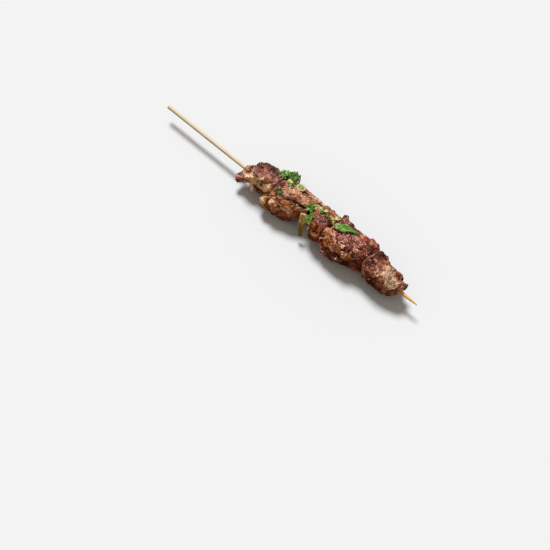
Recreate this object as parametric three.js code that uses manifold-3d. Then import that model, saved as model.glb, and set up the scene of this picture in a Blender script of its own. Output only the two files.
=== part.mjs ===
// A lamb kebab on a bamboo skewer, lying on its side: a pointed stick, five chunks of seared lamb
// threaded close together on it, and a strip of browned onion wedged between two of them.
//
// Millimetres, +Z up. The stick runs along X with its point at +X. The origin is on the floor, under
// the middle of the whole. The chunks rest on the floor on small flat spots, and the stick passes
// over it at AXIS_HEIGHT.

import * as THREE from "three";
import { mergeVertices } from "three/addons/utils/BufferGeometryUtils.js";
import { ImprovedNoise } from "three/addons/math/ImprovedNoise.js";
import Module from "manifold-3d";

const wasm = await Module();
wasm.setup();

// Driving sizes

const GAP = 0.3; // left between pieces that touch
const AXIS_HEIGHT = 12; // of the stick's centre line over the floor
const SHOWN_TILT = 22.6; // degrees that the browned side leans from straight up towards -Y
const FLOOR_BLOCK = 400; // side of the block that flattens what would reach under the floor

const STICK = {
  length: 250,
  radius: 1.5,
  pointLength: 17, // of the sharpened end
  pointRadius: 0.3,
  shoulder: [0.93, 0.86], // radius and length, as shares, where the sharpening turns steeper
  rim: 0.25, // rounding of the blunt end
  sides: 20,
};

const ONION = {
  length: 18.4,
  width: 4.2,
  thickness: 1.7,
  crown: 0.2, // rise of its middle over its long edges
  bend: 26, // degrees that it curls over its length
  taper: 0.22, // share of the width that it loses at its lower end
  at: [147.7, 7.6, 6], // its middle, placed as a lobe is
  lean: 71, // degrees from the stick towards across
  dip: 40, // degrees that it hangs towards the floor
};

const CRUST = {
  blend: 1.5, // over which two lobes flow into each other
  lumpSize: 6.5, // of the swellings of the seared crust
  lumpHeight: 0.85,
  fibreStretch: 2.6, // how much longer the swellings are along the meat's fibres
};

// A chunk is a union of soft lobes. A lobe's place is [along, across, out]: along the stick from its
// blunt end, across it towards -Y, and out of the browned side. Its size is its three radii, and turn
// is degrees from the stick towards across. The first lobe is the middle of the chunk, and every
// other one can be seen from it. Fibres are the degrees from the stick that the meat's fibres run at.
const CHUNKS = [
  {
    name: "lamb_chunk_1",
    detail: 7,
    fibres: 25,
    lobes: [
      { at: [100, -3.8, 0], size: [12, 9.2, 11], turn: -8 },
      { at: [92.2, -2.2, 0.5], size: [8.4, 7.6, 8.5], turn: -46 },
      { at: [87.6, 5.2, 1.5], size: [2.8, 6.8, 4.2], turn: 28 },
      { at: [110, -3.6, 0], size: [7.5, 8.4, 10], turn: 10 },
      { at: [101, 1.6, -3], size: [11, 4.2, 7.5], turn: 0 },
    ],
  },
  {
    name: "lamb_chunk_2",
    detail: 8,
    fibres: 4,
    lobes: [
      { at: [125.5, -2, 0], size: [15.5, 13.2, 12.6], turn: 0 },
      { at: [113.2, 10, 2], size: [4.4, 4.4, 4.6], turn: 30 },
      { at: [118.5, 4.6, 0], size: [8, 7, 9], turn: 0 },
      { at: [140.5, -6.4, -0.5], size: [9, 8.8, 10.5], turn: 4 },
      { at: [128.5, 5.4, -3], size: [8.5, 5.2, 7], turn: -18 },
    ],
  },
  {
    name: "lamb_chunk_3",
    detail: 6,
    fibres: 62,
    lobes: [
      { at: [158, -3, 0], size: [9.6, 12, 11.8], turn: 0 },
      { at: [154, -9, -1], size: [7, 6.2, 8.5], turn: 0 },
      { at: [160, 4.2, 0], size: [7, 5.6, 9], turn: 10 },
    ],
  },
  {
    name: "lamb_chunk_4",
    detail: 8,
    fibres: 38,
    lobes: [
      { at: [181, -0.5, 0], size: [14, 12, 12.4], turn: 0 },
      { at: [172.5, 2.2, 0], size: [8.6, 10.6, 11.6], turn: 14 },
      { at: [170.2, -12.8, 1.5], size: [2.2, 5.6, 3.2], turn: -10 },
      { at: [176.4, -12.2, 1], size: [2.2, 5, 3.4], turn: 12 },
      { at: [195.4, -4.4, 0], size: [10.5, 12.2, 12.4], turn: -12 },
      { at: [180, 6.2, -1.5], size: [11, 4.2, 8], turn: -8 },
    ],
  },
  {
    name: "lamb_chunk_5",
    detail: 7,
    fibres: 20,
    lobes: [
      { at: [212.5, -1.2, 0], size: [11.5, 9.4, 11.4], turn: 0 },
      { at: [207, -3.2, 0], size: [6.4, 9.8, 11.4], turn: 0 },
      { at: [223.2, -1.4, -1], size: [9, 8, 9.6], turn: -8 },
      { at: [226.2, -7, 2.5], size: [3, 3, 4], turn: 0 },
      { at: [230.8, -2.4, -0.5], size: [4.4, 3.2, 5.2], turn: -34 },
      { at: [233.6, -4.2, 0.5], size: [3.2, 1.6, 2.4], turn: -24 },
      { at: [222, 5, -2], size: [6, 4.2, 6], turn: 0 },
    ],
  },
];

const LOOKS = {
  bamboo: { color: 0xdcc498, roughness: 0.6, metalness: 0 },
  lamb: { color: 0x7a4a32, roughness: 0.45, metalness: 0 },
  onion: { color: 0xa08a4c, roughness: 0.4, metalness: 0 },
};

// Geometry helpers

const radians = THREE.MathUtils.degToRad;
const noise = new ImprovedNoise();
const OUT = new THREE.Vector3(0, 0, 1);

/** From [along, across, out] to the row frame, before the whole is centred over the origin. */
const toFrame = new THREE.Matrix4()
  .makeTranslation(-STICK.length / 2, 0, AXIS_HEIGHT)
  .multiply(new THREE.Matrix4().makeRotationX(radians(SHOWN_TILT)))
  .multiply(new THREE.Matrix4().makeScale(1, -1, 1));

/** A geometry moved by toFrame. That mirrors it, so its faces are turned round as well. */
function framed(geometry) {
  const moved = geometry.applyMatrix4(toFrame);
  const index = moved.index.array;
  for (let i = 0; i < index.length; i += 3) {
    [index[i + 1], index[i + 2]] = [index[i + 2], index[i + 1]];
  }
  return moved;
}

/** A geometry with only its positions, and each shared vertex once. */
function bare(geometry) {
  const copy = geometry.clone();
  copy.deleteAttribute("normal");
  copy.deleteAttribute("uv");
  return mergeVertices(copy, 1e-4);
}

/** A closed geometry as a solid. */
function solidOf(geometry) {
  const { attributes, index } = bare(geometry);
  return new wasm.Manifold(
    new wasm.Mesh({
      numProp: 3,
      vertProperties: new Float32Array(attributes.position.array),
      triVerts: new Uint32Array(index.array),
    }),
  );
}

/** A solid as a named mesh. */
function meshOf(name, solid, look) {
  const { vertProperties, triVerts } = solid.getMesh();
  const geometry = new THREE.BufferGeometry();
  geometry.setAttribute("position", new THREE.BufferAttribute(vertProperties, 3));
  geometry.setIndex(new THREE.BufferAttribute(triVerts, 1));
  geometry.computeVertexNormals();
  const mesh = new THREE.Mesh(geometry, new THREE.MeshStandardMaterial(look));
  mesh.name = name;
  return mesh;
}

/** The largest body of a solid, without the crumbs that a cut may leave. */
function largest(solid) {
  return solid.decompose().reduce((a, b) => (b.volume() > a.volume() ? b : a));
}

// The lamb

/** How far a point is outside one lobe, in about millimetres near its surface. */
function outsideLobe(point, lobe) {
  const fromMiddle = point.clone().sub(new THREE.Vector3(...lobe.at));
  const local = fromMiddle.applyAxisAngle(OUT, -radians(lobe.turn));
  return (local.divide(new THREE.Vector3(...lobe.size)).length() - 1) * Math.min(...lobe.size);
}

/** The height of the crust's lumps at a point. They are longer along the fibres. */
function lumps(point, fibres, seed) {
  const p = point.clone().applyAxisAngle(OUT, -radians(fibres)).divideScalar(CRUST.lumpSize);
  const x = p.x / CRUST.fibreStretch;
  const coarse = noise.noise(x, p.y, p.z + seed);
  const fine = noise.noise(2 * x, 2 * p.y, 2 * p.z + seed);
  return CRUST.lumpHeight * (2 * coarse + fine);
}

/** How far a point is outside a chunk: a soft minimum over its lobes, less the lumps. */
function outsideChunk(point, chunk, seed) {
  const nearness = (lobe) => Math.exp(-outsideLobe(point, lobe) / CRUST.blend);
  const sum = chunk.lobes.reduce((total, lobe) => total + nearness(lobe), 0);
  return -CRUST.blend * Math.log(sum) - lumps(point, chunk.fibres, seed);
}

/** Where a ray from a chunk's middle comes out, found from far outside inwards. */
function surfacePoint(chunk, direction, margin, seed) {
  const middle = new THREE.Vector3(...chunk.lobes[0].at);
  const at = (reach) => middle.clone().addScaledVector(direction, reach);
  const isOutside = (reach) => outsideChunk(at(reach), chunk, seed) > margin;
  const step = 0.5;
  let far = 2.5 * Math.max(...chunk.lobes[0].size);
  while (far > step && isOutside(far - step)) far -= step;
  let near = far - step;
  for (let halving = 0; halving < 12; halving++) {
    const half = (near + far) / 2;
    if (isOutside(half)) far = half;
    else near = half;
  }
  return at(near);
}

/** A chunk before it is cut, grown by margin all round, as a solid in the row frame. */
function chunkSolid(chunk, seed, margin = 0) {
  const geometry = bare(new THREE.IcosahedronGeometry(1, chunk.detail));
  const positions = geometry.attributes.position;
  const size = new THREE.Vector3(...chunk.lobes[0].size);
  for (let i = 0; i < positions.count; i++) {
    const direction = new THREE.Vector3().fromBufferAttribute(positions, i).multiply(size);
    positions.setXYZ(i, ...surfacePoint(chunk, direction.normalize(), margin, seed));
  }
  return solidOf(framed(geometry));
}

// The stick

/** The stick, grown by margin all round: blunt at -X and sharpened at +X. */
function stickSolid(margin = 0) {
  const radius = STICK.radius + margin;
  const start = -STICK.length / 2 - margin;
  const end = STICK.length / 2 + margin;
  const [shoulderRadius, shoulderLength] = STICK.shoulder;
  const profile = [
    [0, start],
    [radius - STICK.rim, start],
    [radius, start + STICK.rim],
    [radius, end - STICK.pointLength],
    [radius * shoulderRadius, end - STICK.pointLength * shoulderLength],
    [STICK.pointRadius + margin, end - STICK.pointRadius],
    [0, end],
  ].map((corner) => new THREE.Vector2(...corner));
  const geometry = new THREE.LatheGeometry(profile, STICK.sides);
  return solidOf(geometry.rotateZ(-Math.PI / 2).translate(0, 0, AXIS_HEIGHT));
}

// The onion

/** The onion: a flat bar that curls over its length and narrows downwards, grown by margin. */
function onionSolid(margin = 0) {
  const [length, width, thickness] = [ONION.length, ONION.width, ONION.thickness].map(
    (size) => size + 2 * margin,
  );
  const geometry = new THREE.BoxGeometry(length, width, thickness, 12, 3, 1);
  const positions = geometry.attributes.position;
  const curl = ONION.length / radians(ONION.bend);
  for (let i = 0; i < positions.count; i++) {
    const p = new THREE.Vector3().fromBufferAttribute(positions, i);
    const narrowing = 1 - ONION.taper * (p.x / length + 0.5);
    const crown = ONION.crown * (1 - (2 * p.y / width) ** 2);
    const reach = curl + p.z + crown;
    const angle = p.x / curl;
    positions.setXYZ(i, reach * Math.sin(angle), p.y * narrowing, reach * Math.cos(angle) - curl);
  }
  geometry.rotateY(radians(ONION.dip)).rotateZ(radians(ONION.lean)).translate(...ONION.at);
  return solidOf(framed(geometry));
}

// The whole

const floor = solidOf(
  new THREE.BoxGeometry(FLOOR_BLOCK, FLOOR_BLOCK, FLOOR_BLOCK).translate(0, 0, -FLOOR_BLOCK / 2),
);
const bore = stickSolid(GAP);
const slit = onionSolid(GAP);

const kebab = new THREE.Group();
kebab.add(meshOf("stick", stickSolid(), LOOKS.bamboo));
kebab.add(meshOf("onion_strip", onionSolid(), LOOKS.onion));

// Each chunk is pressed against the one before it, so it takes that one's shape where they meet.
CHUNKS.forEach((chunk, i) => {
  let solid = chunkSolid(chunk, i).subtract(floor).subtract(bore).subtract(slit);
  if (i > 0) solid = solid.subtract(chunkSolid(CHUNKS[i - 1], i - 1, GAP));
  kebab.add(meshOf(chunk.name, largest(solid), LOOKS.lamb));
});

const extent = new THREE.Box3().setFromObject(kebab);
kebab.position.y = -extent.getCenter(new THREE.Vector3()).y;

export default kebab;
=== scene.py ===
"""The looks of a seared lamb kebab on a bamboo stick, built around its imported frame.

Sizes are in millimetres, and meshes are scaled to metres when they are made. A place on the kebab is given
as along, from the stick's blunt end, and around, degrees about the stick from the browned side towards -Y.
"""

import itertools
import logging
import math
from dataclasses import dataclass, field
from enum import Enum
from functools import cached_property
from typing import Any, Callable, ClassVar, Iterable, Sequence

import bpy
import numpy as np
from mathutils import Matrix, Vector
from mathutils.bvhtree import BVHTree


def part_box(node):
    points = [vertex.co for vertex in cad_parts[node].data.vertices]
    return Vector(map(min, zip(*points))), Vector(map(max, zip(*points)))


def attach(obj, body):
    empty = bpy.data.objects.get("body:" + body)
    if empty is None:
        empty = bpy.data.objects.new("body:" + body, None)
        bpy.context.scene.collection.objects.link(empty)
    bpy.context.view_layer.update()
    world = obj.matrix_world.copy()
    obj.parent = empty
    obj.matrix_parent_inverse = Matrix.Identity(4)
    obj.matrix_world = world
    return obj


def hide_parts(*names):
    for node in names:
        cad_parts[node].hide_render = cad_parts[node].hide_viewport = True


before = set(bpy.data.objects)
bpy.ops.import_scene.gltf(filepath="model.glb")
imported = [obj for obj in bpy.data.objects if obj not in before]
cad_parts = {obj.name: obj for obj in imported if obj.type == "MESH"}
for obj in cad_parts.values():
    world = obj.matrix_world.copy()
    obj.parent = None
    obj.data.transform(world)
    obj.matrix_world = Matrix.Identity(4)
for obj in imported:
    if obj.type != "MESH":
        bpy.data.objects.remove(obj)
log = logging.getLogger("kebab")

MM = 0.001
ROOT = "root"
Array = np.ndarray
Colour = tuple[float, float, float, float]
Socket = bpy.types.NodeSocket


# Small helpers


def tint(code: str) -> Colour:
    """Turns an sRGB colour such as "c8a070" into the linear colour that shaders use.

    Args:
        code: six hexadecimal digits.

    Returns:
        Linear red, green, blue and an alpha of 1.
    """
    shares = [int(code[i : i + 2], 16) / 255 for i in (0, 2, 4)]
    linear = [s / 12.92 if s <= 0.04045 else ((s + 0.055) / 1.055) ** 2.4 for s in shares]
    return (*linear, 1.0)


def ease(values: Array, low: float = 0.0, high: float = 1.0) -> Array:
    """Smooth step of values from 0 at low to 1 at high."""
    share = np.clip((values - low) / (high - low), 0.0, 1.0)
    return share * share * (3 - 2 * share)


def unit(vectors: Array) -> Array:
    """Vectors scaled to length 1."""
    return vectors / np.maximum(np.linalg.norm(vectors, axis=-1, keepdims=True), 1e-9)


def vertex_normals(points: Array, faces: Array) -> Array:
    """Outward normals of a mesh of quads.

    Args:
        points: vertex places, one row each.
        faces: four vertex indices in each row.

    Returns:
        One unit normal for each vertex.
    """
    corners = points[faces]
    facing = np.cross(corners[:, 2] - corners[:, 0], corners[:, 3] - corners[:, 1])
    spread = np.repeat(facing, faces.shape[1], axis=0)
    flat = faces.ravel()
    sums = [np.bincount(flat, weights=spread[:, i], minlength=len(points)) for i in range(3)]
    return unit(np.stack(sums, axis=1))


def smooth_path(knots: Array, steps: int) -> Array:
    """A Catmull-Rom curve through knots.

    Args:
        knots: the places that it goes through, one row each.
        steps: how many pieces it is cut into.

    Returns:
        The steps + 1 points along it.
    """
    padded = np.vstack([2 * knots[0] - knots[1], knots, 2 * knots[-1] - knots[-2]])
    where = np.linspace(0, len(knots) - 1, steps + 1)
    first = np.minimum(where.astype(int), len(knots) - 2)
    t = (where - first)[:, None]
    a, b, c, d = (padded[first + i] for i in range(4))
    return 0.5 * (2 * b + (c - a) * t + (2 * a - 5 * b + 4 * c - d) * t**2 + (3 * b - a - 3 * c + d) * t**3)


def sheet_quads(rows: int, columns: int) -> tuple[Array, Array]:
    """Quads between the points of a sheet.

    Args:
        rows: how many points it has one way.
        columns: how many the other way.

    Returns:
        The points' indices as rows by columns, and the corners of each quad.
    """
    grid = np.arange(rows * columns).reshape(rows, columns)
    quads = np.stack([grid[:-1, :-1], grid[1:, :-1], grid[1:, 1:], grid[:-1, 1:]], axis=-1)
    return grid, quads.reshape(-1, 4)


def tube_quads(rings: int, sides: int) -> tuple[Array, Array]:
    """Quads between the points of a tube.

    Args:
        rings: how many rings of points it has.
        sides: how many points each has.

    Returns:
        The points' indices as rings by sides, and the corners of each quad.
    """
    grid = np.arange(rings * sides).reshape(rings, sides)
    after = np.roll(grid, -1, axis=1)
    quads = np.stack([grid[:-1], after[:-1], after[1:], grid[1:]], axis=-1)
    return grid, quads.reshape(-1, 4)


def lying_axes(up: Array) -> tuple[Array, Array]:
    """The directions ahead, as nearly along the stick as can be, and to the side of what lies facing up."""
    side = unit(np.cross(up, [1.0, 0.0, 0.0]))
    return unit(np.cross(side, up)), side


class Noise:
    """Smooth and cellular noise over arrays of points, the same on each run for one seed."""

    SIZE = 256  # entries in each table
    GAIN = 1.6  # brings the smooth noise up to about -1 to 1
    APART = 7.3  # how far each octave is moved, so that their features don't line up
    DOME = 0.45  # how far a swelling falls from its middle to its edge

    def __init__(self, seed: int) -> None:
        """Draws the tables that the noise looks up.

        Args:
            seed: what the tables are drawn from.
        """
        draw = np.random.default_rng(seed)
        self.shuffle = draw.permutation(self.SIZE)
        self.slopes = unit(draw.normal(size=(self.SIZE, 3)))
        self.places = draw.random((self.SIZE, 3))
        self.levels = draw.random(self.SIZE)

    def _pick(self, cells: Array) -> Array:
        """A table index for each grid cell."""
        last = self.SIZE - 1
        x, y, z = cells.T & last
        return self.shuffle[(self.shuffle[(self.shuffle[x] + y) & last] + z) & last]

    def smooth(self, points: Array) -> Array:
        """Gradient noise from about -1 to 1, with features about one unit in size.

        Args:
            points: places in units of one feature.

        Returns:
            A value for each point.
        """
        base = np.floor(points).astype(int)
        part = points - base
        blend = part**3 * (part * (part * 6 - 15) + 10)
        total = np.zeros(len(points))
        for corner in itertools.product((0, 1), repeat=3):
            weight = np.prod(np.where(corner, blend, 1 - blend), axis=1)
            slope = self.slopes[self._pick(base + corner)]
            total += weight * np.einsum("ij,ij->i", slope, part - corner)
        return total * self.GAIN

    def layered(self, points: Array, octaves: int = 3, fading: float = 0.5) -> Array:
        """Smooth noise summed over finer and fainter octaves.

        Args:
            points: places in units of the largest feature.
            octaves: how many layers.
            fading: how much fainter each is than the last.

        Returns:
            A value for each point.
        """
        total = np.zeros(len(points))
        for octave in range(octaves):
            total += fading**octave * self.smooth(points * 2**octave + self.APART * octave)
        return total

    def sway(self, points: Array, apart: float, octaves: int = 1) -> Array:
        """Three noises that far apart as a displacement of each point."""
        return np.stack([self.layered(points + apart * k, octaves) for k in range(3)], axis=1)

    def cells(self, points: Array, groove: float = 0.42) -> tuple[Array, Array]:
        """Swellings that fill cells about one unit wide, as packed pebbles do.

        Args:
            points: places in units of one cell.
            groove: how wide the grooves between the swellings are.

        Returns:
            The height of the swelling, 0 in the grooves and about 1 on top, and a level for each cell.
        """
        base = np.floor(points).astype(int)
        part = points - base
        nearest = np.full(len(points), np.inf)
        second = nearest.copy()
        level = np.zeros(len(points))
        for corner in itertools.product((-1, 0, 1), repeat=3):
            pick = self._pick(base + corner)
            distance = np.linalg.norm(corner + self.places[pick] - part, axis=1)
            closer = distance < nearest
            second = np.where(closer, nearest, np.minimum(second, distance))
            level = np.where(closer, self.levels[pick], level)
            nearest = np.where(closer, distance, nearest)
        swelling = ease(second - nearest, 0.0, groove) * (1 - self.DOME * np.minimum(nearest, 1) ** 2)
        return swelling, level


# Where things lie on the kebab


@dataclass(frozen=True)
class Skewering:
    """The stick's line, and directions about it."""

    shown_tilt: float = 22.6  # degrees that the browned side leans from straight up towards -Y

    @cached_property
    def start(self) -> Array:
        """The middle of the stick's blunt end."""
        low, high = (np.array(corner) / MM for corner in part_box("stick"))
        return np.array([low[0], *(low + high)[1:] / 2])

    @cached_property
    def out(self) -> Array:
        """The direction that the browned side faces."""
        lean = math.radians(self.shown_tilt)
        return np.array([0.0, -math.sin(lean), math.cos(lean)])

    @cached_property
    def across(self) -> Array:
        """The direction across the stick, towards -Y."""
        lean = math.radians(self.shown_tilt)
        return np.array([0.0, -math.cos(lean), -math.sin(lean)])

    def radial(self, around: float) -> Array:
        """The direction away from the stick at an angle about it."""
        angle = math.radians(around)
        return math.cos(angle) * self.out + math.sin(angle) * self.across

    def point(self, along: float, around: float = 0.0, reach: float = 0.0) -> Array:
        """The point at a distance from the stick's centre line."""
        return self.start + np.array([along, 0.0, 0.0]) + reach * self.radial(around)

    def local(self, points: Array) -> Array:
        """Points as columns of along, across and out."""
        offset = points - self.start
        return np.stack([offset[:, 0], offset @ self.across, offset @ self.out], axis=1)


SKEWERING = Skewering()


class Surface:
    """A mesh that places are found on."""

    OUTSIDE = 40.0  # a distance from the stick's centre line that is clear of the meat
    INSIDE = 8.0  # one that is within the meat, for where a ray misses it

    def __init__(self, points: Array, faces: Array) -> None:
        """Keeps the mesh and a tree for rays."""
        self.points = points
        self.faces = faces
        self.tree = BVHTree.FromPolygons(points.tolist(), faces.tolist())

    @staticmethod
    def joined(parts: Iterable["Surface"]) -> "Surface":
        """Several surfaces as one.

        Args:
            parts: the surfaces.

        Returns:
            One surface with all their faces.
        """
        points, faces, count = [], [], 0
        for part in parts:
            points.append(part.points)
            faces.append(part.faces + count)
            count += len(part.points)
        return Surface(np.vstack(points), np.vstack(faces))

    def spot(self, along: float, around: float, lift: float = 0.0) -> tuple[Array, Array]:
        """The outermost point at a place about the stick.

        Args:
            along: distance from the stick's blunt end.
            around: degrees about the stick.
            lift: how far outside the surface the point is wanted.

        Returns:
            The point and the surface's normal there.
        """
        away = SKEWERING.radial(around)
        start = SKEWERING.point(along, around, self.OUTSIDE)
        place, normal, _, _ = self.tree.ray_cast(Vector(start), Vector(-away))
        if place is None:
            inside = SKEWERING.point(along, around, self.INSIDE)
            place, normal, _, _ = self.tree.find_nearest(Vector(inside))
        return np.array(place) + lift * away, np.array(normal)

    def distance(self, points: Array, reach: float) -> Array:
        """How far each point is from this surface, or reach where it is further.

        Args:
            points: the points.
            reach: the furthest that matters.

        Returns:
            A distance for each point.
        """
        low, high = self.points.min(0) - reach, self.points.max(0) + reach
        result = np.full(len(points), reach)
        for i in np.flatnonzero(((points > low) & (points < high)).all(1)):
            found = self.tree.find_nearest(points[i], reach)
            if found[3] is not None:
                result[i] = found[3]
        return result


def node_surface(node: str) -> Surface:
    """A CAD node's own faces.

    Args:
        node: the node's name.

    Returns:
        The surface, in millimetres.
    """
    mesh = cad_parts[node].data
    points = np.empty(len(mesh.vertices) * 3)
    mesh.vertices.foreach_get("co", points)
    mesh.calc_loop_triangles()
    faces = np.empty(len(mesh.loop_triangles) * 3, int)
    mesh.loop_triangles.foreach_get("vertices", faces)
    return Surface(points.reshape(-1, 3) / MM, faces.reshape(-1, 3))


def even_surface(node: str, voxel: float, smoothing: int) -> Surface:
    """A CAD node remeshed in even quads, with its facets smoothed away.

    Args:
        node: the node's name.
        voxel: the size of a quad.
        smoothing: how many passes of smoothing.

    Returns:
        The new surface, in millimetres.
    """
    piece = bpy.data.objects.new("base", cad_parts[node].data.copy())
    bpy.context.scene.collection.objects.link(piece)
    remesh = piece.modifiers.new("remesh", "REMESH")
    remesh.mode = "VOXEL"
    remesh.voxel_size = voxel * MM
    soften = piece.modifiers.new("soften", "SMOOTH")
    soften.factor = 0.5
    soften.iterations = smoothing
    evaluated = piece.evaluated_get(bpy.context.evaluated_depsgraph_get())
    mesh = bpy.data.meshes.new_from_object(evaluated)
    points = np.empty(len(mesh.vertices) * 3)
    mesh.vertices.foreach_get("co", points)
    faces = np.empty(len(mesh.loops), int)
    mesh.loops.foreach_get("vertex_index", faces)
    bpy.data.objects.remove(piece)
    bpy.data.meshes.remove(mesh)
    return Surface(points.reshape(-1, 3) / MM, faces.reshape(-1, 4))


@dataclass
class Seams:
    """How far the notches between the chunks are filled on the browned side, so that the meat runs on."""

    nodes: Sequence[str]
    shares: tuple[tuple[float, float], ...] = (  # along, and how much of a notch there is filled
        (98, 0.0),
        (104, 0.8),
        (120, 0.7),
        (142, 0.5),
        (146, 0.7),
        (160, 1.0),
        (234, 1.0),
    )
    window: float = 5.0  # half the width of the notches that are filled
    step: float = 0.5  # between the places along that are measured
    turn: float = 4.0  # degrees between the lines that are measured on
    sweep: tuple[float, float] = (-132.0, 92.0)  # around the first line and the last
    lean: float = 35.0  # degrees past the browned side's own that the filling goes on towards +Y
    facing: tuple[float, float] = (0.1, 0.7)  # cosines to the browned side between which it starts
    core: tuple[float, float] = (3.0, 8.0)  # distances from the centre line between which it starts

    def __post_init__(self) -> None:
        """Measures the notches."""
        meat = Surface.joined(node_surface(node) for node in self.nodes)
        start = meat.points[:, 0].min() - SKEWERING.start[0] + self.step
        end = meat.points[:, 0].max() - SKEWERING.start[0] - self.step
        self.along = np.arange(start, end, self.step)
        self.around = np.arange(self.sweep[0], self.sweep[1] + self.turn / 2, self.turn)
        reach = np.array([[self._reach(meat, x, angle) for angle in self.around] for x in self.along])
        count = int(self.window / self.step)
        closed = self._slide(self._slide(reach, count, np.max), count, np.min)
        wanted = np.interp(self.along, *zip(*self.shares))[:, None]
        turned = np.cos(np.radians([self.around, self.around + self.lean])).max(0)
        depth = (closed - reach) * wanted * ease(turned, *self.facing)
        self.depth = self._slide(depth, 1, np.mean)

    @staticmethod
    def _reach(meat: Surface, along: float, angle: float) -> float:
        """How far the meat reaches from the stick's centre line at a place."""
        place, _ = meat.spot(along, angle)
        return float(np.linalg.norm((place - SKEWERING.point(along))[1:]))

    @staticmethod
    def _slide(rows: Array, count: int, kind: Callable[..., Array]) -> Array:
        """The most, least or mean of each row and its count neighbours to each side."""
        padded = np.pad(rows, ((count, count), (0, 0)), mode="edge")
        return kind([padded[i : i + len(rows)] for i in range(2 * count + 1)], axis=0)

    def fill(self, points: Array) -> Array:
        """Moves the points at the notches outwards.

        Args:
            points: the points of one chunk.

        Returns:
            The points, filled.
        """
        along, across, out = SKEWERING.local(points).T
        angle = np.degrees(np.arctan2(across, out))
        i, u = self._cell((along - self.along[0]) / self.step, len(self.along))
        j, v = self._cell((angle - self.around[0]) / self.turn, len(self.around))
        depth = (1 - u) * ((1 - v) * self.depth[i, j] + v * self.depth[i, j + 1])
        depth += u * ((1 - v) * self.depth[i + 1, j] + v * self.depth[i + 1, j + 1])
        reach = np.hypot(across, out)
        away = np.stack([across, out], axis=1) / np.maximum(reach, 0.1)[:, None]
        away = away[:, :1] * SKEWERING.across + away[:, 1:] * SKEWERING.out
        return points + (depth * ease(reach, *self.core))[:, None] * away

    @staticmethod
    def _cell(where: Array, count: int) -> tuple[Array, Array]:
        """The line before each place on a grid of count lines, and how far past it the place is."""
        kept = np.clip(where, 0, count - 1.001)
        return kept.astype(int), kept - kept.astype(int)


@dataclass
class Shape:
    """Points, faces and values at the points, before they are a Blender mesh."""

    points: Array
    faces: Array
    values: dict[str, Array] = field(default_factory=dict)
    caps: list[list[int]] = field(default_factory=list)  # faces that aren't quads

    @staticmethod
    def joined(shapes: Sequence["Shape"]) -> "Shape":
        """Several shapes of quads as one, with the values that they all have.

        Args:
            shapes: the shapes.

        Returns:
            One shape with all their faces.
        """
        starts = np.cumsum([0] + [len(s.points) for s in shapes[:-1]])
        return Shape(
            np.vstack([s.points for s in shapes]),
            np.vstack([s.faces + start for s, start in zip(shapes, starts)]),
            {name: np.concatenate([s.values[name] for s in shapes]) for name in shapes[0].values},
        )

    def piece(self, name: str, slot: str, material: bpy.types.Material) -> bpy.types.Object:
        """Makes the Blender object, riding on the kebab.

        Args:
            name: the piece's name.
            slot: not used.
            material: its finish.

        Returns:
            The object.
        """
        faces = self.faces.tolist() + self.caps
        mesh = bpy.data.meshes.new(name)
        mesh.from_pydata((self.points * MM).tolist(), [], faces)
        mesh.shade_smooth()
        for label, values in self.values.items():
            kind, key = ("FLOAT", "value") if values.ndim == 1 else ("FLOAT_VECTOR", "vector")
            kept = mesh.attributes.new(label, kind, "POINT")
            kept.data.foreach_set(key, values.astype(np.float32).ravel())
        mesh.materials.append(material)
        piece = bpy.data.objects.new(name, mesh)
        bpy.context.scene.collection.objects.link(piece)
        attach(piece, ROOT)
        log.info("%s: %d points, %d faces", name, len(self.points), len(faces))
        return piece


# Shader trees


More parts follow.
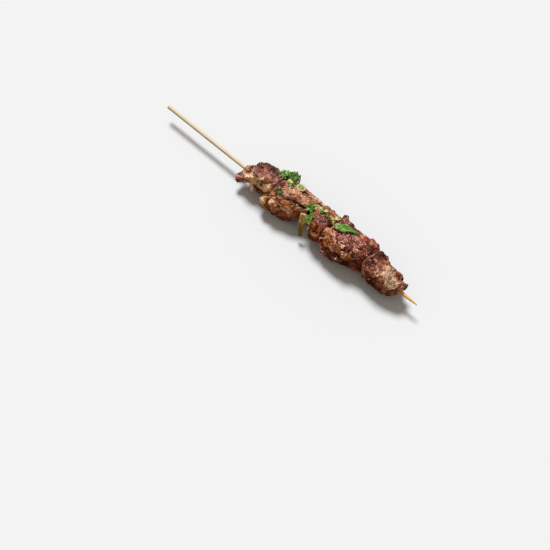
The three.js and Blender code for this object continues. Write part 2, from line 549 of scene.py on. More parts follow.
class Wiring:
    """Adds nodes to one shader tree."""

    def __init__(self, tree: bpy.types.NodeTree) -> None:
        """Keeps the tree."""
        self.tree = tree

    def add(self, kind: str, sources: dict[Any, Any] | None = None, **settings: Any) -> bpy.types.Node:
        """Adds a node.

        Args:
            kind: the node's type without its ShaderNode prefix.
            sources: for each input, by name or number, a socket to link or a value to set.
            **settings: the node's own properties.

        Returns:
            The node.
        """
        node = self.tree.nodes.new("ShaderNode" + kind)
        for name, value in settings.items():
            setattr(node, name, value)
        for name, value in (sources or {}).items():
            if isinstance(value, bpy.types.NodeSocket):
                self.tree.links.new(value, node.inputs[name])
            else:
                node.inputs[name].default_value = value
        return node

    def math(self, operation: str, a: Any, b: Any) -> Socket:
        """One sum of two values."""
        return self.add("Math", {0: a, 1: b}, operation=operation).outputs[0]

    def plus(self, value: Any, source: Any, weight: float) -> Socket:
        """A value, and a source times its weight."""
        return self.math("ADD", value, self.math("MULTIPLY", source, weight))

    def centred(self, source: Any, weight: float) -> Socket:
        """A source from 0 to 1 as half its weight to each side of nothing."""
        return self.math("MULTIPLY", self.math("SUBTRACT", source, 0.5), weight)

    def step(self, value: Any, low: float, high: float, start: float = 0, end: float = 1) -> Socket:
        """A smooth step from start at low to end at high."""
        sources = {"Value": value, "From Min": low, "From Max": high, "To Min": start, "To Max": end}
        return self.add("MapRange", sources, interpolation_type="SMOOTHSTEP").outputs["Result"]

    def mix(self, share: Any, a: Any, b: Any) -> Socket:
        """Colour a towards colour b, which are the node's inputs 6 and 7."""
        return self.add("Mix", {0: share, 6: a, 7: b}, data_type="RGBA").outputs[2]

    def attribute(self, name: str, output: str = "Fac") -> Socket:
        """A value kept at the mesh's points."""
        return self.add("Attribute", attribute_name=name).outputs[output]

    def stretched(self, vector: Any, stretch: Sequence[float]) -> Socket:
        """Coordinates multiplied axis by axis."""
        return self.add("VectorMath", {0: vector, 1: stretch}, operation="MULTIPLY").outputs["Vector"]

    def noise(self, vector: Any, size: float, detail: float, rough: float) -> Socket:
        """Noise with features of a size in the coordinates' own unit."""
        sources = {"Vector": vector, "Scale": 1 / size, "Detail": detail, "Roughness": rough}
        return self.add("TexNoise", sources).outputs["Fac"]

    def pebbles(self, vector: Any, size: float) -> Socket:
        """Rounded cells: 1 in their middles, falling towards their edges."""
        distance = self.add("TexVoronoi", {"Vector": vector, "Scale": 1 / size}).outputs["Distance"]
        return self.step(distance, 0.0, 0.75, 1, 0)


class Group:
    """A shader node group that several materials place."""

    made: dict[str, bpy.types.NodeTree] = {}

    @classmethod
    def start(cls, name: str, inputs: dict[str, str], outputs: dict[str, str]) -> tuple[Wiring, Any]:
        """Makes a group with its sockets, kept under its name.

        Args:
            name: the group's name.
            inputs: the kind of each input, Color, Float or Vector.
            outputs: the kind of each output.

        Returns:
            The wiring of the new tree, and the sockets of what it is given, by name.
        """
        tree = bpy.data.node_groups.new(name, "ShaderNodeTree")
        for in_out, sockets in (("INPUT", inputs), ("OUTPUT", outputs)):
            for label, kind in sockets.items():
                tree.interface.new_socket(label, in_out=in_out, socket_type="NodeSocket" + kind)
        cls.made[name] = tree
        return Wiring(tree), tree.nodes.new("NodeGroupInput").outputs

    @staticmethod
    def end(wiring: Wiring, results: dict[str, Socket]) -> None:
        """Links what the group puts out, by name.

        Args:
            wiring: the wiring of its tree.
            results: the socket for each output.
        """
        output = wiring.tree.nodes.new("NodeGroupOutput")
        for label, socket in results.items():
            wiring.tree.links.new(socket, output.inputs[label])

    @classmethod
    def place(cls, wiring: Wiring, name: str, sources: dict[str, Any]) -> bpy.types.Node:
        """Places a group in a material's tree, with its own values."""
        return wiring.add("Group", sources, node_tree=cls.made[name])


def make_grain_group() -> None:
    """Fine grain that most finishes use: a mottle for colour, a gloss mask and a height for bumps."""
    outputs = {"Mottle": "Float", "Speck": "Float", "Height": "Float"}
    wiring, given = Group.start("grain", {"Vector": "Vector", "Size": "Float"}, outputs)
    scale = wiring.math("DIVIDE", 1.0, given["Size"])
    scaled = wiring.add("VectorMath", {0: given["Vector"], 3: scale}, operation="SCALE")
    where = scaled.outputs["Vector"]
    mottle = wiring.noise(where, 1.0, 4, 0.6)
    speck = wiring.noise(where, 0.33, 2, 0.6)
    pebble = wiring.math("MULTIPLY", wiring.pebbles(where, 0.45), 0.6)
    height = wiring.plus(pebble, speck, 0.7)
    Group.end(wiring, {"Mottle": mottle, "Speck": speck, "Height": height})


class SearGroup:
    """What seared meat looks like, from the masks kept on its mesh and the grain along its fibres, with
    painted shade, painted light on crests and painted glints in its colour.
    """

    COLOURS = ("Deep_shade", "Crust", "Flesh", "Pale", "Fat", "Blush", "Amber", "Char")
    BROWNS = (("Crust", 0.05, 0.38), ("Flesh", 0.36, 0.62), ("Pale", 0.66, 1.0))  # lightness where each comes
    STAINS = (("Blush", 0.75), ("Amber", 0.8), ("Fat", 0.9))  # the most that each covers
    MOST_CHAR = 0.85
    RAGGED = 1.6  # how far the fibres fray the edges of the stains
    # The mesh's shade, tone and crevice value bring painted shade and painted light into the lightness
    SHADE = 0.34  # how much each of these lightens the meat
    MOTTLE = 1.7
    TONE = 0.45
    DEEP_SHADE = -0.4
    DULLING = (("deep_shade", 0.1), ("char", 0.15))  # masks, and how much of the wetness each leaves

    def __init__(self) -> None:
        """Makes the group, and the noises that more than one of its outputs reads."""
        inputs = {name: "Color" for name in self.COLOURS} | {"Light": "Float"}
        outputs = {"Color": "Color", "Roughness": "Float", "Wet": "Float", "Height": "Float"}
        self.wiring, self.given = Group.start("sear", inputs, outputs)
        self.muscle = self.wiring.attribute("muscle", "Vector")
        self.sleek = self.wiring.attribute("sleek")
        self.fibre = self.wiring.noise(self._fibred(0.25), 1.0, 3, 0.55)
        self.speck = self.wiring.noise(self._fibred(0.7), 0.9, 2, 0.5)
        roughness = self.wiring.step(self.speck, 0.35, 0.65, 0.38, 0.62)
        results = {"Color": self._colour(self._light()), "Roughness": roughness}
        Group.end(self.wiring, results | {"Wet": self._wet(), "Height": self._height()})

    def _fibred(self, share: float) -> Socket:
        """Coordinates that make a noise longer along the fibres, the more so the less the share."""
        return self.wiring.stretched(self.muscle, (share, 1, 1))

    def _light(self) -> Socket:
        """How light the meat is, from 0 in a crevice to 1 on a pale fibre, with painted shade and painted
        glints in it.

        Returns:
            Its socket.
        """
        wiring = self.wiring
        # Pale specks where the crust isn't sleek: painted glints
        glint_share = wiring.step(self.sleek, 0.0, 1.0, 1.0, 0.2)
        painted_glints = wiring.math("MULTIPLY", wiring.step(self.speck, 0.52, 0.74, -0.02, 0.26), glint_share)
        light = wiring.plus(self.given["Light"], wiring.attribute("shade"), self.SHADE)
        light = wiring.math("ADD", light, wiring.step(self.fibre, 0.38, 0.72, -0.06, 0.18))
        light = wiring.math("ADD", light, painted_glints)
        coarse = wiring.noise(self._fibred(0.6), 6.5, 2, 0.45)
        light = wiring.math("ADD", light, wiring.centred(coarse, self.MOTTLE))
        # The mesh's tone: lobe-to-lobe tone with painted light on crests
        light = wiring.math("ADD", light, wiring.centred(wiring.attribute("tone"), self.TONE))
        # Darker by the crevice value: painted shade in creases, gaps and dents
        return wiring.plus(light, wiring.attribute("deep_shade"), self.DEEP_SHADE)

    def _colour(self, light: Socket) -> Socket:
        """The brown for the lightness, with the stains and the char over it.

        Args:
            light: how light the meat is.

        Returns:
            The colour's socket.
        """
        wiring, given = self.wiring, self.given
        colour = given["Deep_shade"]
        for name, low, high in self.BROWNS:
            colour = wiring.mix(wiring.step(light, low, high), colour, given[name])
        lit = wiring.step(light, 0.1, 0.5)
        ragged = wiring.centred(self.fibre, self.RAGGED)
        rosy = wiring.step(wiring.noise(self.muscle, 6.0, 2, 0.5), 0.52, 0.66, 0, 0.6)
        for name, most in self.STAINS:
            share = wiring.attribute(name.lower())
            if name == "Blush":
                share = wiring.math("MAXIMUM", share, rosy)
            edge = wiring.math("ADD", share, wiring.math("MULTIPLY", ragged, wiring.step(share, 0, 0.3)))
            # Where the lightness is low, a stain turns towards the darkest brown: a painted shaded copy of it
            shown = wiring.mix(lit, wiring.mix(0.55, given[name], given["Deep_shade"]), given[name])
            colour = wiring.mix(wiring.step(edge, 0.2, 0.95, 0, most), colour, shown)
        burnt = wiring.plus(wiring.attribute("char"), ragged, 0.5)
        return wiring.mix(wiring.step(burnt, 0.35, 0.8, 0, self.MOST_CHAR), colour, given["Char"])

    def _wet(self) -> Socket:
        """Where juice stands on the meat: in pools and on sleek places, less in crevices and on char.

        Returns:
            Its socket.
        """
        wiring = self.wiring
        wet = wiring.step(wiring.noise(self.muscle, 2.6, 2, 0.5), 0.46, 0.62, 0.05, 0.8)
        wet = wiring.math("MAXIMUM", wet, wiring.math("MULTIPLY", self.sleek, 0.42))
        for mask, least in self.DULLING:
            wet = wiring.math("MULTIPLY", wet, wiring.step(wiring.attribute(mask), 0.0, 0.6, 1.0, least))
        return wet

    def _height(self) -> Socket:
        """The height for the bumps of fibres and pebbles, lower where the meat is sleek.

        Returns:
            Its socket.
        """
        wiring = self.wiring
        pebbled = wiring.math("MULTIPLY", wiring.pebbles(self._fibred(0.7), 0.9), 0.5)
        height = wiring.plus(pebbled, self.fibre, 1.2)
        return wiring.math("MULTIPLY", height, wiring.step(self.sleek, 0.0, 1.0, 1.0, 0.4))


def new_material(name: str) -> tuple[bpy.types.Material, Wiring]:
    """An empty material and the wiring of its tree.

    Args:
        name: the material's name.

    Returns:
        The material and its wiring.
    """
    material = bpy.data.materials.new(name)
    material.use_nodes = True
    material.node_tree.nodes.clear()
    return material, Wiring(material.node_tree)


def finish_material(
    wiring: Wiring, sources: dict[str, Any], height: Socket | None = None, bump: float = 0.0
) -> None:
    """Gives a material its Principled shader and its bump.

    Args:
        wiring: the material's tree.
        sources: the shader's inputs.
        height: the socket that the bump reads, where it has one.
        bump: the bump's height in millimetres.
    """
    if height is not None:
        relief = wiring.add("Bump", {"Strength": 1.0, "Distance": bump * MM, "Height": height})
        sources = sources | {"Normal": relief.outputs["Normal"]}
    shader = wiring.add("BsdfPrincipled", sources)
    wiring.add("OutputMaterial", {"Surface": shader.outputs[0]})


@dataclass(frozen=True)
class LambFinish:
    """Seared lamb: its colours from crevice to pale fibre, and those of its special places."""

    # The darkest brown: the crust's darkest, and the colour of the painted shade in crevices
    deep_shade: str = "3e1204"
    crust: str = "7c4a2c"
    flesh: str = "a87854"
    pale: str = "d0a884"
    fat: str = "cfae82"
    blush: str = "a06458"
    amber: str = "b06c2c"
    char: str = "2a1812"
    light: float = 0.6
    specular: float = 0.16
    coat_roughness: float = 0.25
    subsurface: float = 0.1
    bump: float = 0.13

    def material(self, name: str) -> bpy.types.Material:
        """The material for one chunk.

        Args:
            name: the material's name.

        Returns:
            The material.
        """
        material, wiring = new_material(name)
        colours = {label: tint(getattr(self, label.lower())) for label in SearGroup.COLOURS}
        seared = Group.place(wiring, "sear", colours | {"Light": self.light}).outputs
        shading = {
            "Base Color": seared["Color"],
            "Roughness": seared["Roughness"],
            "Specular IOR Level": self.specular,
            "Coat Weight": seared["Wet"],
            "Coat Roughness": self.coat_roughness,
            "Subsurface Weight": self.subsurface,
            "Subsurface Radius": (1.0, 0.35, 0.2),
            "Subsurface Scale": 1.0 * MM,
        }
        finish_material(wiring, shading, seared["Height"], self.bump)
        return material


@dataclass(frozen=True)
class SoftFinish:
    """A moist finish that runs between three colours by its tone, with grain: fat, onion or herb."""

    dark: str
    light: str
    middle: str
    grain: float
    roughness: float
    coat: float
    bump: float
    subsurface: float
    coat_roughness: float = 0.15
    mottle: float = 0.9  # how much the grain shifts the tone

    def material(self, name: str) -> bpy.types.Material:
        """The material, which reads the mesh's tone and its own coordinates.

        Args:
            name: the material's name.

        Returns:
            The material.
        """
        material, wiring = new_material(name)
        vector = wiring.stretched(wiring.add("TexCoord").outputs["Object"], [1 / MM] * 3)
        grain = Group.place(wiring, "grain", {"Vector": vector, "Size": self.grain}).outputs
        tone = wiring.math("ADD", wiring.attribute("tone"), wiring.centred(grain["Mottle"], self.mottle))
        lower = wiring.mix(wiring.step(tone, 0.0, 0.5), tint(self.dark), tint(self.middle))
        shading = {
            "Base Color": wiring.mix(wiring.step(tone, 0.5, 1.0), lower, tint(self.light)),
            "Roughness": wiring.step(grain["Speck"], 0.3, 0.7, self.roughness - 0.08, self.roughness + 0.12),
            "Coat Weight": self.coat,
            "Coat Roughness": self.coat_roughness,
            "Subsurface Weight": self.subsurface,
            "Subsurface Radius": (0.8, 0.6, 0.3),
            "Subsurface Scale": 1.0 * MM,
        }
        finish_material(wiring, shading, grain["Height"], self.bump)
        return material


# The lamb


class Tone(Enum):
    """What a patch or a line of the crust is; its darker and paler patches are partly the crust's own tone
    and partly painted shade and painted light.
    """

    FAT = "fat"
    CHAR = "char"
    BLUSH = "blush"
    AMBER = "amber"
    GRAIN = "grain"
    SLEEK = "sleek"
    # Darker crust in places, and painted shade in others: under leaves, in pockets and along the lower edges
    DUSK = "dusk"
    # Paler crust in places, and painted light in others, where the meat stands out
    BRIGHT = "bright"


@dataclass(frozen=True)
class Patch:
    """An uneven patch of one tone on a chunk."""

    tone: Tone
    along: float
    around: float
    length: float  # half of it, along its turn
    width: float  # half of it
    turn: float = 0.0  # degrees from the stick's direction
    strength: float = 1.0
    height: float = 0.0  # how far it swells, or dents where it is less than nothing

    WAVES: ClassVar[float] = 3.2  # size of the waves in a patch's edge
    RAGGED: ClassVar[float] = 0.55  # how far they go, as a share of the patch
    EDGE: ClassVar[tuple[float, float]] = (0.4, 1.3)  # where its edge starts and ends, as shares of it
    DEPTH: ClassVar[tuple[float, float]] = (3.5, 0.7)  # the least that it reaches down, and as a share of it

    def cover(self, points: Array, base: Surface, waves: Array) -> Array:
        """Finds how far inside the patch each point is.

        Args:
            points: the points.
            base: the surface that the patch lies on.
            waves: noise that makes its edge uneven.

        Returns:
            A share from 0 outside it to 1 within it.
        """
        centre, normal = base.spot(self.along, self.around)
        turn = math.radians(self.turn)
        ahead, side = lying_axes(normal)
        offset = points - centre
        u = offset @ (math.cos(turn) * ahead + math.sin(turn) * side) / self.length
        v = offset @ (math.cos(turn) * side - math.sin(turn) * ahead) / self.width
        w = offset @ normal / max(self.DEPTH[0], self.DEPTH[1] * self.width)
        start, end = self.EDGE
        return ease(end - np.sqrt(u**2 + v**2 + w**2) + self.RAGGED * waves, 0.0, end - start)


@dataclass(frozen=True)
class Line:
    """A crease, or where its height is above nothing a rib, along places on the crust."""

    places: tuple[tuple[float, float], ...]  # along and around
    width: float
    height: float
    tone: Tone | None = None
    strength: float = 1.0

    WAVES: ClassVar[float] = 1.7  # size of the waves in a line's edge
    RAGGED: ClassVar[float] = 0.35  # how far they go, as a share of its width
    EDGE: ClassVar[float] = 1.15  # where its edge ends, as a share of its width
    STEPS: ClassVar[int] = 6  # pieces from each place to the next

    def cover(self, points: Array, base: Surface, waves: Array) -> Array:
        """Finds how near the middle of the line each point is.

        Args:
            points: the points.
            base: the surface that the line lies on.
            waves: noise that makes its edge uneven.

        Returns:
            A share from 0 beside it to 1 in its middle.
        """
        knots = np.array([base.spot(*place)[0] for place in self.places])
        near = np.full(len(points), np.inf)
        for a, b in itertools.pairwise(smooth_path(knots, self.STEPS * (len(knots) - 1))):
            step = b - a
            share = np.clip((points - a) @ step / (step @ step), 0, 1)
            near = np.minimum(near, np.linalg.norm(points - a - share[:, None] * step, axis=1))
        return ease(self.EDGE - near / self.width + self.RAGGED * waves)


@dataclass(frozen=True)
class Texture:
    """What the searing made of the crust at each point, before it becomes height or tone."""

    muscle: Array  # places along, across and through the bent fibres
    lobe: Array
    level: Array  # one for each lobe
    strand: Array
    crease: Array
    thread: Array
    flake: Array
    grain: Array
    pebble: Array
    pebble_level: Array  # one for each pebble
    sleek: Array  # how smooth the crust is
    grainy: Array  # how coarse it is


# Added to places in the noise, so that the features of the relief don't follow each other
APART = {
    "bend": 11.7,
    "strand": 31,
    "crease": 5,
    "thread": 47,
    "flake": 80,
    "grain": 60,
    "creased": 20,
    "threaded": 40,
    "blotch": 90,
}


def varied(swelling: Array, level: Array, amount: float) -> Array:
    """Swellings about nothing whose heights differ by an amount with their levels."""
    return swelling * (1 + amount * (level - 0.5)) - 0.5


@dataclass
class Relief:
    """Sizes of the relief that searing leaves on cut muscle, in millimetres, and what it does to the tone."""

    lobe: float = 5.5
    lobe_stretch: float = 1.9
    lobe_groove: float = 0.6  # width of the grooves between lobes, in lobes
    lobe_height: float = 0.75
    lobe_variety: float = 0.6
    crease: float = 4.6
    crease_stretch: float = 2.2
    crease_height: float = 0.7
    strand: float = 1.9
    strand_stretch: float = 5.0
    strand_gain: float = 1.9
    strand_height: float = 0.42
    thread: float = 2.4
    thread_stretch: float = 1.7
    thread_height: float = 0.22
    thread_light: float = 1.1  # how much paler the threads are
    flake: float = 5.5
    flake_stretch: float = 1.6
    flake_ledges: float = 1.7  # about how many ledges there are from the lowest to the highest
    flake_edge: float = 0.28  # the share of a ledge that its edge takes
    flake_height: float = 0.5
    grain: float = 1.7
    grain_height: float = 0.14
    grain_plain: float = 0.45  # the share of its height that grain has where the crust isn't coarse
    pebble: float = 1.2
    pebble_height: float = 0.22
    pebble_variety: float = 0.8
    bend: float = 9.0  # size of the waves that bend the fibres
    bend_reach: float = 2.6
    ridge: float = 0.17  # how near to nothing the noise is within a crease or a thread
    thread_edge: float = 0.15  # over how much of that a thread rises
    creased: float = 8.0  # size of the areas that have creases
    creased_noise: tuple[float, float] = (-0.15, 0.35)  # between which they start
    threaded: float = 7.0  # size of the areas that have threads
    threaded_noise: tuple[float, float] = (0.0, 0.5)
    threaded_grain: float = 0.8  # how much coarse crust favours threads
    jitter: tuple[float, float] = (0.8, 0.4)  # size and reach of the waves that push pebbles about
    coarsest: float = 0.7
    coarse_strand: float = 0.6  # the share of its strands' height that coarse crust loses
    sleek_flake: float = 0.6  # the same for the flakes of sleek crust
    sleek_strand: float = 0.5
    sleek_grain: float = 0.75

    def weave(self, points: Array, fibre: Array, found: dict[str, Array], noise: Noise) -> Texture:
        """Works out the texture of a chunk.

        Args:
            points: the chunk's points.
            fibre: the same points along, across and through its straight fibres.
            found: how much of each tone there is at them.
            noise: the chunk's noise.

        Returns:
            The texture.
        """
        muscle = fibre + self.bend_reach * noise.sway(fibre / self.bend, APART["bend"], 2)
        lobe, level = noise.cells(muscle / self._fibred(self.lobe, self.lobe_stretch), self.lobe_groove)
        strand = np.abs(self._strewn(noise, muscle, "strand", 2))
        crease = ease(self.ridge - np.abs(self._strewn(noise, muscle, "crease", 2)), 0, self.ridge)
        crease *= ease(noise.smooth(points / self.creased + APART["creased"]), *self.creased_noise)
        thread = ease(self.ridge - np.abs(self._strewn(noise, muscle, "thread", 2)), 0, self.thread_edge)
        threaded = noise.smooth(points / self.threaded + APART["threaded"])
        threaded += self.threaded_grain * found["grain"]
        sleek = found["sleek"]
        rise = self.flake_ledges * self._strewn(noise, muscle, "flake", 3)
        size, reach = self.jitter
        pushed = reach * noise.smooth(points / size)[:, None]
        pebble, pebble_level = noise.cells(points / self.pebble + pushed)
        return Texture(
            muscle=muscle,
            lobe=lobe,
            level=level,
            strand=np.minimum(strand * self.strand_gain, 1),
            crease=crease,
            thread=thread * ease(threaded, *self.threaded_noise) * (1 - sleek),
            flake=np.floor(rise) + ease(rise - np.floor(rise), 0.0, self.flake_edge),
            grain=noise.layered(points / self.grain + APART["grain"], 3, 0.6),
            pebble=pebble,
            pebble_level=pebble_level,
            sleek=sleek,
            grainy=self.coarsest * found["grain"] * (1 - sleek),
        )

    @staticmethod
    def _fibred(size: float, stretch: float) -> Array:
        """Divisors that make noise of a size, stretched along the fibres."""
        return size * np.array([stretch, 1.0, 1.0])

    def _strewn(self, noise: Noise, muscle: Array, name: str, octaves: int) -> Array:
        """Noise for one feature of the relief, at its size and stretch and apart from the others'."""
        divisors = self._fibred(getattr(self, name), getattr(self, name + "_stretch"))
        return noise.layered(muscle / divisors + APART[name], octaves)

    def height(self, texture: Texture) -> Array:
        """How far the crust stands out at each point.

        Args:
            texture: the chunk's texture.

        Returns:
            A height for each point.
        """
        t, sleek, coarse = texture, texture.sleek, texture.grainy
        height = self.lobe_height * varied(t.lobe, t.level, self.lobe_variety) + self.thread_height * t.thread
        height += self.flake_height * t.flake * (1 - self.sleek_flake * sleek) - self.crease_height * t.crease
        stranded = (1 - self.coarse_strand * coarse) * (1 - self.sleek_strand * sleek)
        height += self.strand_height * (t.strand - 0.5) * stranded
        grained = (self.grain_plain + (1 - self.grain_plain) * coarse) * (1 - self.sleek_grain * sleek)
        height += self.grain_height * t.grain * grained
        return height + self.pebble_height * varied(t.pebble, t.pebble_level, self.pebble_variety) * coarse


@dataclass(frozen=True)
class Shading:
    """How much each part of the relief darkens or lightens the crust: painted shade in its hollows, and
    painted light on its crests.
    """

    # Painted shade in creases and in the gaps beside strands, lobes and pebbles
    crease: float = 0.7
    strand_gap: tuple[float, float] = (0.3, 0.12)  # below which height, and how much painted shade it gets
    lobe_gap: tuple[float, float] = (0.3, 0.15)
    pebble_gap: tuple[float, float] = (0.35, 0.14)
    dent: tuple[float, float] = (0.4, 1.4)  # depths between which a dent grows dark with painted shade
    dark: float = 0.35  # how dark the painted shade in a dent is, and where the chunk is pressed against a neighbour or the stick
    # How much the height of a point's lobe, grain, strand and pebble lightens it: painted light on crests,
    # besides lobe-to-lobe tone
    level: float = 0.3
    grain: float = 0.12
    strand: float = 0.35
    pebble: float = 0.3

    def deep_shade(self, texture: Texture, height: Array, free: Array) -> Array:
        """Finds how much painted shade darkens each point: in creases, in the gaps beside swellings, in dents
        and where the chunk is pressed.

        Args:
            texture: the chunk's texture.
            height: how far its crust stands out.
            free: how free it is of its neighbours and the stick.

        Returns:
            A share from 0 to 1.
        """
        low = texture.crease * self.crease
        low += self._gap(texture.strand, self.strand_gap) + self._gap(texture.lobe, self.lobe_gap)
        low += texture.grainy * self._gap(texture.pebble, self.pebble_gap)
        low += ease(-height, *self.dent) * self.dark + (1 - free) * self.dark
        return np.clip(low, 0, 1)

    @staticmethod
    def _gap(swelling: Array, gap: tuple[float, float]) -> Array:
        """How much the gap beside a swelling darkens each point."""
        below, most = gap
        return ease(below - swelling, 0.0, below) * most

    def tone(self, texture: Texture) -> Array:
        """How light each point's own swelling or strand is, from 0 to 1: lighter the higher it stands, which
        is painted light on the crests, and varied from lobe to lobe.

        Args:
            texture: the chunk's texture.

        Returns:
            A value for each point.
        """
        tone = 0.5 + self.level * (texture.level - 0.5) + self.grain * texture.grain
        tone += self.strand * (texture.strand - 0.5) * (1 - texture.grainy)
        tone += self.pebble * varied(texture.pebble, texture.pebble_level, 1.0) * texture.grainy
        return np.clip(tone, 0, 1)


@dataclass
class Chunk:
    """One chunk of seared lamb."""

    node: str
    seed: int
    fibres: float  # degrees from the stick that its fibres run at
    finish: LambFinish
    patches: dict[Tone, tuple[tuple[float, ...], ...]]  # the values of each Patch, in rows by tone
    lines: tuple[Line, ...]
    relief: Relief = field(default_factory=Relief)
    shading: Shading = Shading()
    voxel: float = 0.25
    inflate: float = 0.05
    smoothing: int = 40
    lowest: float = 0.02  # above the floor
    held: float = 0.15  # the share of the relief that is left where the chunk is pressed
    pressed: tuple[float, float] = (0.35, 1.6)  # distances from a neighbour between which it starts
    bored: tuple[float, float] = (0.5, 2.5)  # the same for the stick
    far_side: tuple[float, float] = (-0.35, 0.5)  # cosines to the browned side's back: it starts, and is full
    far_char: tuple[float, float] = (0.75, 0.4)  # how charred the blotches there are, and how much more painted shade darkens them
    far_shade: float = 0.25  # how much painted shade darkens the rest of it
    blotch: float = 7.0  # size of the blotches

    KEPT: ClassVar[tuple[str, ...]] = ("fat", "char", "blush", "amber", "sleek")

    def build(
        self, neighbours: Sequence[Surface], stick: Surface, seams: Seams
    ) -> tuple[Surface, bpy.types.Object]:
        """Builds the chunk.

        Args:
            neighbours: the CAD surfaces of what the chunk is pressed against.
            stick: the CAD surface of the stick.
            seams: what fills the notches beside it.

        Returns:
            Its smooth base, which other pieces are placed on, and its piece.
        """
        voxel, passes = ((self.voxel, self.smoothing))
        base = even_surface(self.node, voxel, passes)
        free = np.ones(len(base.points))
        for neighbour in neighbours:
            free *= ease(neighbour.distance(base.points, self.pressed[1]), *self.pressed)
        base = Surface(seams.fill(base.points), base.faces)
        free *= ease(stick.distance(base.points, self.bored[1]), *self.bored)
        noise = Noise(self.seed)
        found, marked = self.mark(base, noise)
        hidden, blotched = self._far_side(base.points, noise)
        found["char"] = np.maximum(found["char"], self.far_char[0] * blotched)
        texture = self.relief.weave(base.points, self._fibre_places(base.points), found, noise)
        height = self.relief.height(texture) + marked
        height -= height.mean()
        values = {name: found[name] for name in self.KEPT} | {"muscle": texture.muscle}
        # The crevice value below is painted shade, and the tone is lobe-to-lobe tone with painted light on
        # crests
        values |= {"deep_shade": self.shading.deep_shade(texture, height, free), "tone": self.shading.tone(texture)}
        # The shade: painted light and shade from the paler and darker patches, with the threads' own paleness
        shade = found["bright"] - found["dusk"] + self.relief.thread_light * texture.thread
        # Painted shade over the far side, darker still on its char blotches
        values["shade"] = shade - self.far_shade * hidden - self.far_char[1] * blotched
        name = self.node.replace("lamb", "seared")
        shape = Shape(self._raised(base, height, free), base.faces, values)
        piece = shape.piece(name, "lamb", self.finish.material(name))
        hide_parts(self.node)
        return base, piece

    def mark(self, base: Surface, noise: Noise) -> tuple[dict[str, Array], Array]:
        """Finds where each tone shows, and what the patches and lines add to the height.

        Args:
            base: the surface that the patches and lines lie on.
            noise: what makes their edges uneven.

        Returns:
            A value for each point by the tone's name, and a height for each point.
        """
        points = base.points
        found = {tone.value: np.zeros(len(points)) for tone in Tone}
        height = np.zeros(len(points))
        patch_waves = noise.layered(points / Patch.WAVES, 3, 0.6)
        line_waves = noise.smooth(points / Line.WAVES)
        marks = [(Patch(tone, *row), patch_waves) for tone, rows in self.patches.items() for row in rows]
        marks += [(line, line_waves) for line in self.lines]
        for mark, waves in marks:
            inside = mark.cover(points, base, waves)
            height += mark.height * inside
            if mark.tone:
                name = mark.tone.value
                found[name] = np.maximum(found[name], mark.strength * inside)
        return found, height

    def _fibre_places(self, points: Array) -> Array:
        """The points along, across and through the chunk's straight fibres.

        Args:
            points: the chunk's points.

        Returns:
            The same points as places in the meat.
        """
        along, across, out = SKEWERING.local(points).T
        turn = math.radians(self.fibres)
        ahead = along * math.cos(turn) + across * math.sin(turn)
        aside = across * math.cos(turn) - along * math.sin(turn)
        return np.stack([ahead, aside, out], axis=1)

    def _far_side(self, points: Array, noise: Noise) -> tuple[Array, Array]:
        """How far round to the far side each point is, and how much of a blotch of char is there.

        Args:
            points: the chunk's points.
            noise: the chunk's noise.

        Returns:
            Two shares for each point.
        """
        _, across, out = SKEWERING.local(points).T
        hidden = ease(-out / np.maximum(np.hypot(across, out), 0.1), *self.far_side)
        return hidden, hidden * ease(noise.layered(points / self.blotch + APART["blotch"], 2), 0.1, 0.5)

    def _raised(self, base: Surface, height: Array, free: Array) -> Array:
        """The base's points raised to the crust, and kept above the floor.

        Args:
            base: the chunk's smooth base.
            height: how far its crust stands out.
            free: how free it is of its neighbours and the stick.

        Returns:
            The crust's points.
        """
        shift = self.inflate + height * (self.held + (1 - self.held) * free)
        moved = base.points + shift[:, None] * vertex_normals(base.points, base.faces)
        moved[:, 2] = np.maximum(moved[:, 2], self.lowest)
        return moved


# The stick


@dataclass(frozen=True)
class BambooFinish:
    """Pale split bamboo with fine fibres, toasted towards its point."""

    pale: str = "c8b48c"
    paler: str = "dad2bc"
    tan: str = "c4a66c"
    toast: str = "e4a850"
    toasted: tuple[float, float] = (225.0, 240.0)  # distances along between which it starts
    stretch: float = 20.0  # how many times longer than wide the grain and the fibres are
    grain: float = 0.9
    fibre: float = 0.28
    bump: float = 0.05

    def material(self, name: str) -> bpy.types.Material:
        """The material, which reads the mesh's reach along the stick and its own coordinates.

        Args:
            name: the material's name.

        Returns:
            The material.
        """
        material, wiring = new_material(name)
        where = wiring.add("TexCoord").outputs["Object"]
        vector = wiring.stretched(where, (1 / self.stretch / MM, 1 / MM, 1 / MM))
        grain = Group.place(wiring, "grain", {"Vector": vector, "Size": self.grain}).outputs
        fibre = wiring.noise(vector, self.fibre, 3, 0.6)
        colour = wiring.mix(wiring.step(fibre, 0.35, 0.7), tint(self.pale), tint(self.paler))
        colour = wiring.mix(wiring.step(grain["Mottle"], 0.55, 0.75, 0, 0.4), colour, tint(self.tan))
        toasted = wiring.step(wiring.attribute("reach"), *self.toasted, 0, 0.9)
        colour = wiring.mix(toasted, colour, tint(self.toast))
        shading = {"Base Color": colour, "Roughness": wiring.step(fibre, 0.3, 0.7, 0.45, 0.7)}
        finish_material(wiring, shading, fibre, self.bump)
        return material


